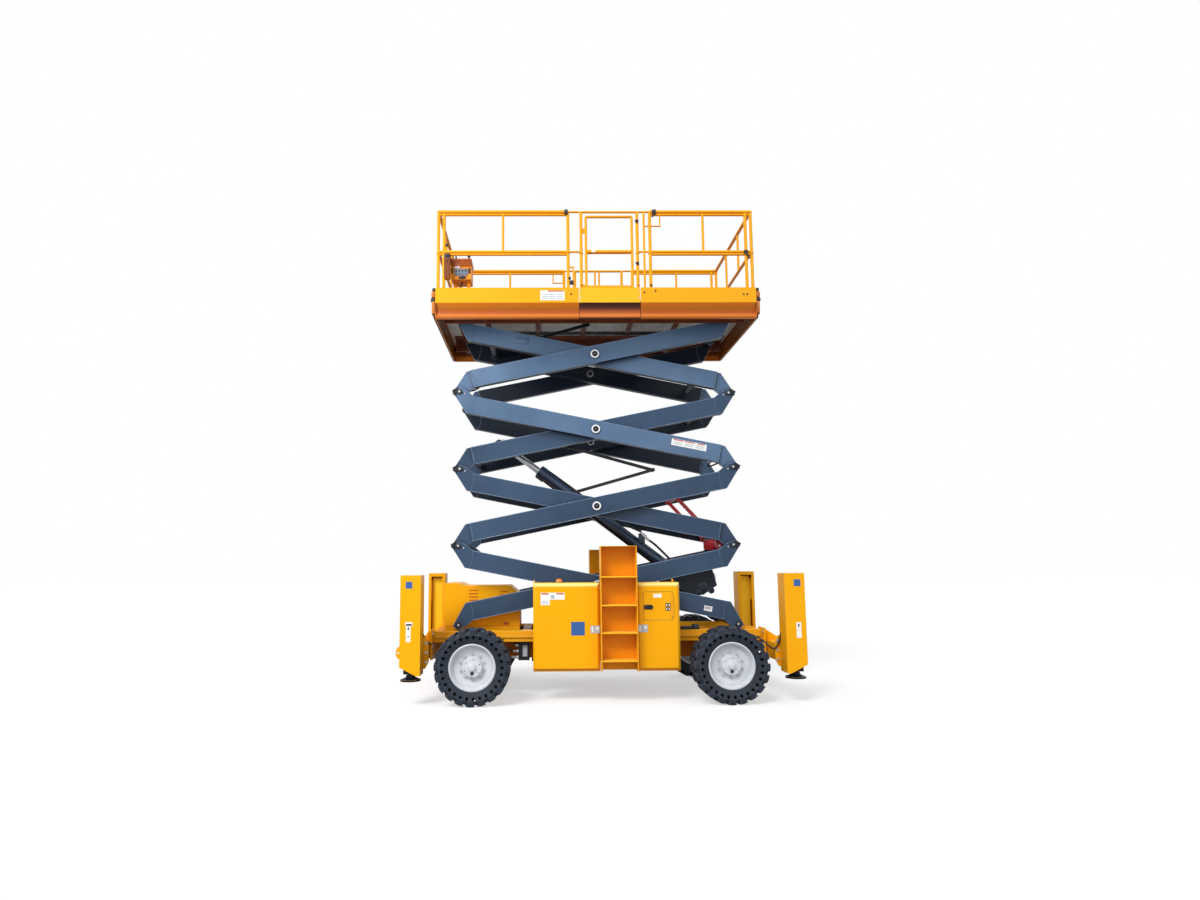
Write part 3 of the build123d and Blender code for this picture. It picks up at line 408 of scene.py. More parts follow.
# Painted shade fills the hollow of the rolled channel in dark brown and lightens downwards to a painted
# highlight in orange near the lip, with a dark edge at the bottom.
CHANNEL_SHADING_ZONES = tuple(
    Zone((-4.0, y - 0.046, low), (4.0, y + 0.046, high), colour, soft)
    for y in (-0.91, 0.91)
    for low, high, colour, soft in (
        (4.4, 4.6405, "#3A180A", 0.0004), (4.44, 4.57, "#84390E", 0.05),
        (4.446, 4.545, "#AA5018", 0.04), (4.468, 4.51, "#CC742C", 0.028),
        (4.4, 4.456, "#6E3412", 0.008)))
# Painted shade, dark brown, on the undersides of the slides.
SLIDE_UNDERSIDE_SHADE = Zone((-1.9066, -0.8866, 4.4), (1.9066, 0.8866, 4.666), "#5E3220")
RAIL_YELLOW = Finish("rail_enamel", **RAIL_PAINT)
EXTENSION_YELLOW = Finish("extension_enamel", zones=(SLIDE_UNDERSIDE_SHADE,) + CHANNEL_SHADING_ZONES + (
    Zone((-1.818, -0.918, 4.955), (-1.746, -0.834, 5.252), "#141C2C"),), **RAIL_PAINT)
# End channel in orange enamel, with painted shade in brown on its downward faces and in its corners, and a
# paler lip, partly wear and partly painted highlight.
END_CHANNEL_ORANGE = Finish(
    "channel_enamel", "#DB8430", "#C26A20", 120, 0.9, 0.45, 0.12, 7, 0.1, edge="#F5B45C", edge_mm=8,
    edge_share=0.75, crevice="#4A2410", crevice_mm=30, specular=0.3, under="#7A3A18")
# The frame under the deck is painted dark brown for the shade below the deck, with the rolled channel's
# painted shading; its toe board is as bright as the others.
UNDERFRAME_SHADE_BROWN = Finish(
    "underframe_painted_shade", "#7E4224", "#5A2E20", 300, 0.9, 0.5, 0.12, 8, 0.1, edge="#B0703C", edge_mm=5,
    edge_share=0.6, specular=0.3, zones=(Zone((-4.0, -0.96, 4.64), (4.0, -0.88, 4.9), "#FFB814"),
    Zone((-4.0, 0.88, 4.64), (4.0, 0.96, 4.9), "#FFB814")) + CHANNEL_SHADING_ZONES)
# Rails of the chassis in orange enamel; painted shade in brown on the belly plates, on the faces that look
# down and in the corners.
FRAME_ORANGE = Finish(
    "frame_enamel", "#FFBE18", "#F8AC0C", 400, 0.8, 0.42, 0.1, 8, 0.09, edge="#FFDC88", edge_mm=7,
    edge_share=0.7, crevice="#B8640A", crevice_mm=45, specular=0.2, under="#C8740C",
    zones=(Zone((-2.0, -0.36, 0.3), (2.0, 0.36, 0.652), "#B5641A"), Zone((-2.0, -0.3, 0.6),
    (2.0, 0.3, 0.8), "#C8781C")))
# Ladder pressings: paler step edges, partly wear and partly painted highlight, in front of a back in painted
# shade, a deeper orange.
LADDER_ORANGE = Finish(
    "ladder_enamel", "#FFBE10", "#FAB00A", 500, 0.7, 0.38, 0.08, 7, 0.08, specular=0.16, edge="#FFDE7C",
    edge_mm=6, edge_share=0.8, crevice="#D8860A", crevice_mm=50, crevice_share=0.5, under="#D07A08",
    zones=(Zone((0.005, -0.922, 0.3), (0.397, 0.922, 1.8), "#F79C08"), ))
# Inside of the outrigger posts: orange leg tube above, black foot below.
LEG_STEEL = Finish(
    "leg_enamel", "#FFD024", "#FFC41A", 300, 0.7, 0.42, 0.1, 6, 0.08, edge="#FFD06A", edge_mm=4,
    specular=0.16, zones=(Zone((-3.0, -2.0, 0.0), (3.0, 2.0, 0.4), "#101216"), ))
# Painted shade, dark slate, on the faces between the two planes of beams, where little light reaches.
INNER_SHADE_ZONES = (Zone((-4.0, -0.3815, 0.0), (4.0, 0.3815, 6.0), "#18212F"),
               Zone((-4.0, 0.4788, 0.0), (4.0, 0.4815, 6.0), "#1C2636"),
               Zone((-4.0, -0.4815, 0.0), (4.0, -0.4788, 6.0), "#1C2636"))
# Slate enamel on the welded box beams: satin, with broad uneven patches; pale edges, partly wear and partly
# painted highlight; painted shade in corners and on the faces that look down.
SLATE_PAINT = {"colour": "#344963", "second": "#465E7C", "patch_mm": 1400, "patch_share": 0.95,
               "roughness": 0.34, "roughness_swing": 0.12, "grain_mm": 9, "grain_depth_mm": 0.1,
               "edge": "#A8BCD2", "edge_mm": 10, "edge_share": 0.85, "crevice": "#121A28", "crevice_mm": 60,
               "crevice_share": 0.7, "specular": 0.28, "under": "#141C29"}
SLATE_BLUE = Finish("slate_enamel", zones=INNER_SHADE_ZONES, **SLATE_PAINT)
SLATE_CRADLE = Finish("slate_and_black_enamel", zones=INNER_SHADE_ZONES + (
    Zone((0.85, -0.3812, 1.1), (1.62, 0.3812, 1.5), "#0D121B"),), **SLATE_PAINT)
# Painted light: the upper beams take a paler copy of the slate enamel, for the more light they get from the
# sky.
SLATE_LIT_UPPER = Finish("lit_slate_enamel", zones=INNER_SHADE_ZONES, **{
    **SLATE_PAINT, "colour": "#4D6989", "second": "#7390B2", "edge": "#C2D2E2"})
# Weld beads keep a paler skin of the same enamel.
WELD_SLATE = Finish("weld_enamel", "#5C728E", "#4A5F7B", 60, 0.7, 0.4, 0.1, 4, 0.1, specular=0.3)
# Painted highlight: pale lines along the beams' corners, where they catch the light.
HIGHLIGHT_LINE_SLATE = Finish("painted_highlight_line", "#7F97B4", "#5F7795", 200, 0.9, 0.4, 0.1, 4, 0.1, specular=0.4)
# Hydraulic tube paint, darker and glossier than the beams, with painted shade on the faces that look down.
CYLINDER_SLATE = Finish(
    "cylinder_enamel", "#2F405A", "#3D5170", 500, 0.7, 0.22, 0.08, 6, 0.05, coat=0.25, specular=0.4,
    edge="#7288A6", edge_mm=6, edge_share=0.6, under="#0C121C")
# Black enamel of the cylinder's cradle; the same black on the thin plates at the beams' tips.
CRADLE_BLACK = Finish(
    "cradle_enamel", "#121824", "#1C2532", 260, 0.8, 0.36, 0.1, 6, 0.08, specular=0.3, edge="#4B5C74",
    edge_mm=6, edge_share=0.7)
# Hard chrome on the rod: mirror bright, with drawing marks along it.
HARD_CHROME = Finish(
    "hard_chrome", "#D9DCE0", "#C9CDD3", 300, 0.5, 0.1, 0.04, 2, 0.01, metallic=1.0,
    pattern=Pattern.BRUSHED)
# Zinc plated fasteners and fittings: pale, softly bright.
ZINC = Finish("zinc_plate", "#D5D7DA", "#B9BDC2", 30, 0.6, 0.32, 0.1, 3, 0.03, metallic=0.8)
# White painted retaining rings of the pivots.
RING_WHITE = Finish("ring_enamel", "#F4F5F6", "#E4E7EA", 40, 0.6, 0.35, 0.08, 4, 0.03, coat=0.2)
# Cast and black painted steel of axles, legs and brackets.
BLACK_STEEL = Finish(
    "black_steel", "#15181D", "#20242A", 300, 0.8, 0.45, 0.12, 4, 0.1, edge="#4F565F", edge_mm=4,
    edge_share=0.6, specular=0.35)
# Filled rubber compound, matt blue-black with a dusty bloom that lifts its colour; pale lug edges, partly
# wear and partly painted highlight, and painted shade, near black, between the lugs.
TYRE_RUBBER = Finish(
    "tyre_rubber", "#1C232E", "#2B3441", 90, 0.9, 0.6, 0.14, 3, 0.3, edge="#76839A", edge_mm=6,
    edge_share=0.75, crevice="#040507", crevice_mm=26, crevice_share=0.85, specular=0.3)
# Painted shade: near-black ovals stand in for the shadowed hollows of the sidewall's ports.
PORT_SHADE = Finish("port_painted_shade", "#020203", "#050607", 60, 0.6, 0.9, 0.1, 3, 0.05, specular=0.05)
# Pale grey stove enamel of the wheel discs; paler edges, partly wear and partly painted highlight, and
# painted shade in the corners.
WHEEL_GREY = Finish(
    "wheel_enamel", "#D2D5DA", "#C0C4CA", 160, 0.9, 0.3, 0.1, 5, 0.06, coat=0.1, edge="#FAFBFC", edge_mm=6,
    edge_share=0.8, crevice="#7B818A", crevice_mm=34, crevice_share=0.6)
# Galvanised deck panels with their spangle, seen from below.
DECK_ZINC = Finish(
    "galvanised_deck", "#EDEBE4", "#BDB9B0", 160, 0.9, 0.5, 0.12, 22, 0.1, metallic=0.1,
    pattern=Pattern.GALVANISED)
# Chequered floor plate, worn bright where people stand; the bars are drawn coarse enough to show.
FLOOR_PLATE = Finish(
    "floor_plate", "#8E9092", "#A2A4A6", 350, 0.8, 0.4, 0.12, 30, 1.5, metallic=0.5,
    pattern=Pattern.TREAD_PLATE)
# Red enamel of the maintenance prop, with painted shade in its corners.
SIGNAL_RED = Finish(
    "red_enamel", "#C20E22", "#A80A1C", 200, 0.6, 0.34, 0.08, 5, 0.06, coat=0.2, edge="#DE5358", edge_mm=5,
    edge_share=0.6, crevice="#4A060B", crevice_mm=25)
# Hose rubber and moulded plastics.
HOSE_RUBBER = Finish("hose_rubber", "#16181C", "#26292E", 60, 0.7, 0.5, 0.1, 2, 0.1)
BLACK_PLASTIC = Finish(
    "black_plastic", "#101216", "#1A1D22", 80, 0.6, 0.45, 0.08, 2, 0.06, edge="#4B4F55", edge_mm=3,
    edge_share=0.5)
GREY_PLASTIC = Finish("grey_plastic", "#6E7C90", "#7F8CA0", 90, 0.6, 0.45, 0.08, 2, 0.05)
# Orange moulding of the upper controls, with painted shade in its corners, and a browner lid.
CONTROL_ORANGE = Finish(
    "control_moulding", "#F59A1E", "#EA8410", 120, 0.7, 0.42, 0.08, 3, 0.06, edge="#FFC06A", edge_mm=4,
    edge_share=0.6, crevice="#9A4A0C", crevice_mm=30, specular=0.25)
LID_BROWN = Finish(
    "lid_moulding", "#B8591A", "#A54A10", 90, 0.7, 0.42, 0.08, 3, 0.06, edge="#D98B4A", edge_mm=4,
    edge_share=0.6)
# Blank printed film: white ground, red header and grey picture field.
LABEL_WHITE = Finish("label_film", "#F3F2EF", "#E6E5E1", 60, 0.6, 0.4, 0.06, 4, 0.01)
LABEL_BLUE = Finish("label_blue", "#2F5FA0", "#2A558F", 60, 0.6, 0.4, 0.06, 4, 0.01)
LABEL_RED = Finish("label_red", "#CC4A44", "#BB3A34", 60, 0.6, 0.4, 0.06, 4, 0.01)
LABEL_GREY = Finish("label_grey", "#A8B0B8", "#BCC3CA", 18, 0.8, 0.4, 0.06, 4, 0.01)
# Amber lens of the beacon: clear moulded plastic over a lamp.
AMBER_LENS = Finish(
    "amber_lens", "#FF8A14", "#F8760C", 40, 0.5, 0.12, 0.04, 8, 0.03, coat=0.6, edge="#FFB347", edge_mm=8,
    edge_share=0.7)


# ---- mesh helpers
def along(start: Vector, end: Vector) -> Matrix:
    """Matrix that stands the local Z axis on the line from start to end, at its middle."""
    line = end - start
    return Matrix.Translation((start + end) / 2) @ line.to_track_quat("Z", "Y").to_matrix().to_4x4()


def add_rod(bm: Mesh, start: Spot, end: Spot, radius: float,
            segments: int = 20, tip: float | None = None) -> None:
    """Add a closed round bar between two points.

    Args:
        bm: The mesh to add to.
        start: First end.
        end: Other end.
        radius: Radius at the start.
        segments: Sides of the bar.
        tip: Radius at the end, if it tapers.
    """
    a, b = Vector(start), Vector(end)
    bmesh.ops.create_cone(bm, cap_ends=True, cap_tris=False, segments=segments, radius1=radius,
                          radius2=radius if tip is None else tip, depth=(b - a).length, matrix=along(a, b))


def add_path(bm: Mesh, points: Sequence[Vector], radius: float, segments: int) -> None:
    """Add a chain of round bars from point to point.

    Args:
        bm: The mesh to add to.
        points: The points, in order.
        radius: Radius of the bars.
        segments: Sides of each bar.
    """
    for start, end in zip(points, points[1:]):
        add_rod(bm, start, end, radius, segments)


def add_block(bm: Mesh, low: Spot, high: Spot, round_by: float = 0.0,
              turn: Matrix | None = None, segments: int = 2) -> None:
    """Add a box between two opposite corners.

    Args:
        bm: The mesh to add to.
        low: One corner.
        high: The opposite corner; the two may come in either order.
        round_by: Radius of the edges.
        turn: Turn about the box's centre.
        segments: Steps of the rounding.
    """
    a, b = Vector(low), Vector(high)
    centre, size = (a + b) / 2, b - a
    matrix = Matrix.Translation(centre) @ (turn or Matrix.Identity(4)) @ Matrix.Diagonal(
        (abs(size.x), abs(size.y), abs(size.z), 1.0))
    made = bmesh.ops.create_cube(bm, size=1.0, matrix=matrix)
    if round_by:
        edges = list({e for v in made["verts"] for e in v.link_edges})
        bmesh.ops.bevel(bm, geom=edges, offset=round_by, offset_type="OFFSET", affect="EDGES",
                        segments=segments, profile=0.5, material=-1, clamp_overlap=True)


def add_turned(bm: Mesh, profile: Sequence[tuple[float, float]], centre: Spot,
               axis: Spot, segments: int = 48) -> None:
    """Spin a profile of (distance along the axis, radius) into a turned shape.

    Args:
        bm: The mesh to add to.
        profile: Points of the half section, in order; a closed ring repeats its first point.
        centre: The point on the axis where the distance is zero.
        axis: Direction of the axis.
        segments: Steps of the full turn.
    """
    line = Vector(axis).normalized()
    across = line.orthogonal().normalized()
    middle = Vector(centre)
    closed = profile[0] == profile[-1]
    points = profile[:-1] if closed else profile
    verts = [bm.verts.new(middle + line * d + across * r) for d, r in points]
    pairs = list(zip(verts, verts[1:])) + ([(verts[-1], verts[0])] if closed else [])
    edges = [bm.edges.new(pair) for pair in pairs]
    bmesh.ops.spin(bm, geom=verts + edges, cent=middle, axis=line, angle=math.tau, steps=segments,
                   use_merge=True)
    bmesh.ops.remove_doubles(bm, verts=bm.verts[:], dist=1e-6)
    bmesh.ops.recalc_face_normals(bm, faces=bm.faces[:])


def add_prism(bm: Mesh, first: Sequence[Vector], second: Sequence[Vector]) -> None:
    """Join two matching outlines into a closed plate.

    Args:
        bm: The mesh to add to.
        first: Corners of one outline, in order.
        second: Corners of the other one, in the same order.
    """
    a, b = [bm.verts.new(p) for p in first], [bm.verts.new(p) for p in second]
    faces = [bm.faces.new(a), bm.faces.new(list(reversed(b)))]
    for k in range(len(a)):
        n = (k + 1) % len(a)
        faces.append(bm.faces.new((a[n], a[k], b[k], b[n])))
    bmesh.ops.recalc_face_normals(bm, faces=faces)


def add_bolt(bm: Mesh, seat: Spot, out: Spot, size: float) -> None:
    """Add a washer and a hexagon head that sit on a face.

    Args:
        bm: The mesh to add to.
        seat: Centre of the bolt on the face.
        out: Direction away from the face.
        size: Thread diameter in metres.
    """
    foot, line = Vector(seat), Vector(out).normalized()
    sunk = foot - line * 0.002
    add_rod(bm, sunk, foot + line * size * 0.16, size * 1.05, 16)
    add_rod(bm, foot, foot + line * size * 0.75, size * 0.88, 6, size * 0.84)


def mount(name: str, bm: Mesh, finish: Finish, body: str, smooth_deg: float = 35.0
          ) -> bpy.types.Object:
    """Turn a bmesh into a piece of the lift that rides on a body.

    Args:
        name: Piece name.
        bm: The finished mesh, freed here.
        finish: Surface finish.
        body: CAD body that it moves with.
        smooth_deg: Edges flatter than this are shaded smooth.

    Returns:
        The new object.
    """
    mesh = bpy.data.meshes.new(name)
    for face in bm.faces:
        face.smooth = True
    for edge in bm.edges:
        if len(edge.link_faces) == 2 and edge.calc_face_angle(0.0) > math.radians(smooth_deg):
            edge.smooth = False
    bm.to_mesh(mesh)
    bm.free()
    piece = bpy.data.objects.new(name, mesh)
    mesh.materials.append(finish.build())
    bpy.context.scene.collection.objects.link(piece)
    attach(piece, body)
    log.info("%s rides on %s (%d faces)", name, body, len(mesh.polygons))
    return piece


def hose(name: str, routes: Iterable[Sequence[Spot]], radius: float, finish: Finish, body: str
         ) -> bpy.types.Object:
    """Make one piece of smooth round hoses or wires.

    Args:
        name: Piece name.
        routes: For each hose, the points that its spline follows.
        radius: Hose radius.
        finish: Surface finish.
        body: CAD body that it moves with.

    Returns:
        The mesh object of all the hoses.
    """
    curve = bpy.data.curves.new(name, "CURVE")
    curve.dimensions = "3D"
    curve.bevel_depth = radius
    curve.bevel_resolution = 3
    curve.use_fill_caps = True
    for route in routes:
        spline = curve.splines.new("NURBS")
        spline.points.add(len(route) - 1)
        for point, place in zip(spline.points, route):
            point.co = (*place, 1.0)
        spline.order_u = 3
        spline.use_endpoint_u = True
        spline.resolution_u = 8
    drawn = bpy.data.objects.new(name + "_line", curve)
    bpy.context.scene.collection.objects.link(drawn)
    bpy.context.view_layer.update()
    mesh = bpy.data.meshes.new_from_object(drawn.evaluated_get(bpy.context.evaluated_depsgraph_get()))
    bpy.data.objects.remove(drawn)
    bm = bmesh.new()
    bm.from_mesh(mesh)
    bpy.data.meshes.remove(mesh)
    return mount(name, bm, finish, body, 60.0)


# ---- studio
@dataclass
class Studio:
    """Floor, light and camera.

    Attributes:
        eye: Camera place.
        yaw_deg: Turn of the view towards +X.
        pitch_deg: Upward tilt.
        roll_deg: Turn about the view axis.
        lens_mm: Focal length.
        film_mm: Width of the film.
        shift: How far the film is shifted right and up, as shares of its width.
        sky: Strength of the soft light from all round.
        floor_lift: Light added to the floor, for the camera alone, so that it reads white.
        suns: Name, direction of travel, strength and spread in degrees of each soft key.
        panel_place: Place of the soft panel at the upper front end.
        panel_aim: Point that it faces.
        panel_power: Its power in watts.
        panel_size: Its width.
    """

    eye: Point = (-0.62, -9.246, 1.538)
    yaw_deg: float = 0.711
    pitch_deg: float = 6.4
    roll_deg: float = -0.347
    lens_mm: float = 21.7074
    film_mm: float = 36.0
    shift: tuple[float, float] = (0.038333333, 0.028041667)
    sky: float = 0.66
    floor_lift: float = 0.52
    suns: tuple[tuple[str, Point, float, float], ...] = (
        ("key", (0.5, 0.85, -0.95), 1.7, 20.0), ("fill", (-0.75, 0.65, -0.3), 0.45, 45.0))
    panel_place: Point = (-4.2, -4.2, 4.4)
    panel_aim: Point = (-1.0, -0.5, 3.7)
    panel_power: float = 120.0
    panel_size: float = 2.4

    def camera(self) -> None:
        """Create the camera and make it the scene's."""
        data = bpy.data.cameras.new("view")
        data.sensor_width = self.film_mm
        data.lens = self.lens_mm
        data.shift_x, data.shift_y = self.shift
        data.clip_end = 200.0
        yaw, pitch, roll = (math.radians(a) for a in (self.yaw_deg, self.pitch_deg, self.roll_deg))
        ahead = Vector((math.sin(yaw) * math.cos(pitch), math.cos(yaw) * math.cos(pitch), math.sin(pitch)))
        level = Vector((math.cos(yaw), -math.sin(yaw), 0.0))
        above = level.cross(ahead)
        right = level * math.cos(roll) + above * math.sin(roll)
        up = above * math.cos(roll) - level * math.sin(roll)
        turn = Matrix((right, up, -ahead)).transposed().to_4x4()
        camera = bpy.data.objects.new("view", data)
        camera.matrix_world = Matrix.Translation(self.eye) @ turn
        bpy.context.scene.collection.objects.link(camera)
        bpy.context.scene.camera = camera

    def floor(self) -> None:
        """Lay a pale floor that fades into the background."""
        bm = bmesh.new()
        bmesh.ops.create_grid(bm, x_segments=1, y_segments=1, size=60.0)
        mesh = bpy.data.meshes.new("floor")
        bm.to_mesh(mesh)
        bm.free()
        plane = bpy.data.objects.new("floor", mesh)
        material = bpy.data.materials.new("studio_floor")
        material.use_nodes = True
        tree = material.node_tree
        tree.nodes.clear()
        path = add_node(tree, "LightPath")
        matt = add_node(tree, "BsdfDiffuse", inputs={"Color": (0.5, 0.5, 0.5, 1.0)})
        lift = add_node(tree, "Math", {"operation": "MULTIPLY"}, {
            0: path.outputs["Is Camera Ray"], 1: self.floor_lift})
        glow = add_node(tree, "Emission", inputs={"Color": (1.0, 1.0, 1.0, 1.0),
                                                           "Strength": lift.outputs[0]})
        both = add_node(tree, "AddShader", inputs={0: matt.outputs[0], 1: glow.outputs[0]})
        add_node(tree, "OutputMaterial", inputs={"Surface": both.outputs[0]})
        mesh.materials.append(material)
        bpy.context.scene.collection.objects.link(plane)

    def light(self) -> None:
        """Set the world and the soft lamps."""
        scene = bpy.context.scene
        world = bpy.data.worlds.new("studio")
        scene.world = world
        world.use_nodes = True
        tree = world.node_tree
        tree.nodes.clear()
        path = add_node(tree, "LightPath")
        seen = add_node(tree, "Math", {"operation": "MAXIMUM"}, {
            0: path.outputs["Is Camera Ray"], 1: path.outputs["Is Transmission Ray"]})
        clear_for = add_node(tree, "Math", {"operation": "MAXIMUM"}, {
            0: seen.outputs[0], 1: path.outputs["Is Glossy Ray"]})
        soft = add_node(tree, "Background", inputs={"Color": srgb("#F4F7FB"),
                                                             "Strength": self.sky})
        clear = add_node(tree, "Background", inputs={"Color": (1.0, 1.0, 1.0, 1.0),
                                                              "Strength": 1.0})
        mixed = add_node(tree, "MixShader", inputs={
            0: clear_for.outputs[0], 1: soft.outputs[0], 2: clear.outputs[0]})
        add_node(tree, "OutputWorld", inputs={"Surface": mixed.outputs[0]})
        panel = self.lamp("side_panel", "AREA", self.panel_power, self.panel_place,
                          Vector(self.panel_aim) - Vector(self.panel_place))
        panel.size = self.panel_size
        for name, towards, strength, spread in self.suns:
            sun = self.lamp(name, "SUN", strength, (0.0, 0.0, 0.0), Vector(towards))
            sun.angle = math.radians(spread)

    @staticmethod
    def lamp(name: str, kind: str, power: float, place: Point, towards: Vector) -> bpy.types.Light:
        """Hang a lamp.

        Args:
            name: Name of the lamp.
            kind: "AREA" or "SUN".
            power: Its strength.
            place: Its place.
            towards: Direction of its light.

        Returns:
            The lamp's settings.
        """
        data = bpy.data.lights.new(name, kind)
        data.energy = power
        hung = bpy.data.objects.new(name, data)
        aim = towards.to_track_quat("-Z", "Y").to_matrix().to_4x4()
        hung.matrix_world = Matrix.Translation(place) @ aim
        bpy.context.scene.collection.objects.link(hung)
        return data

    def build(self) -> None:
        """Build the floor, light and camera."""
        bpy.context.scene.view_settings.view_transform = "Standard"
        self.floor()
        self.light()
        self.camera()


# ---- the lift
@dataclass(frozen=True)
class Beam:
    """Place of one arm of the stack.

    Attributes:
        level: Pair number from the ground up.
        lean: "a" rises towards +X, "b" towards -X.
        pivot_x: Distance of the end pivots from the middle.
        pivot_z: Height of the lowest pivots.
        rise: Height from one level to the next.
        edge_pin: Distance of a pin from the beam's centre line.
        thick: Width of a beam along Y.
    """

    level: int
    lean: str
    pivot_x: float = 1.66
    pivot_z: float = 0.83
    rise: float = 0.939
    edge_pin: float = 0.13
    thick: float = 0.09

    @property
    def arm(self) -> str:
        """Name of the arm's body."""
        return f"arm_{self.level}{self.lean}"

    @property
    def outer(self) -> bool:
        """Whether the arm runs in the outer plane."""
        return (self.level % 2 == 0) == (self.lean == "a")

    @property
    def face(self) -> float:
        """Distance of the beam's outside face from the middle of the machine."""
        return (0.48 if self.outer else 0.38) + self.thick

    @property
    def tilt(self) -> float:
        """Slope of the beam at rest, in radians."""
        line = math.hypot(2 * self.pivot_x, self.rise)
        return math.asin(self.rise / line) - math.asin(2 * self.edge_pin / line)

    @property
    def half(self) -> float:
        """Half of the distance between the pins along the beam."""
        line = math.hypot(2 * self.pivot_x, self.rise)
        return math.sqrt(line * line - 4 * self.edge_pin**2) / 2

    @property
    def turn(self) -> Matrix:
        """Turn that lays a level box along the beam."""
        return Matrix.Rotation(-self.tilt if self.lean == "a" else self.tilt, 4, "Y")

    def at(self, x: float, above: float, y: float) -> Vector:
        """Point of the beam from its middle: along it uphill, square above it, and across."""
        flip = 1.0 if self.lean == "a" else -1.0
        cos, sin = math.cos(self.tilt), math.sin(self.tilt)
        return Vector((flip * (x * cos - above * sin), y,
                       self.pivot_z + (self.level - 0.5) * self.rise + x * sin + above * cos))

    def at_end(self, upper: bool, x: float, up: float, y: float) -> Vector:
        """Point from an end's pin: x into the beam, up towards its centre line."""
        if upper:
            return self.at(self.half - x, self.edge_pin - up, y)
        return self.at(-self.half + x, -self.edge_pin + up, y)


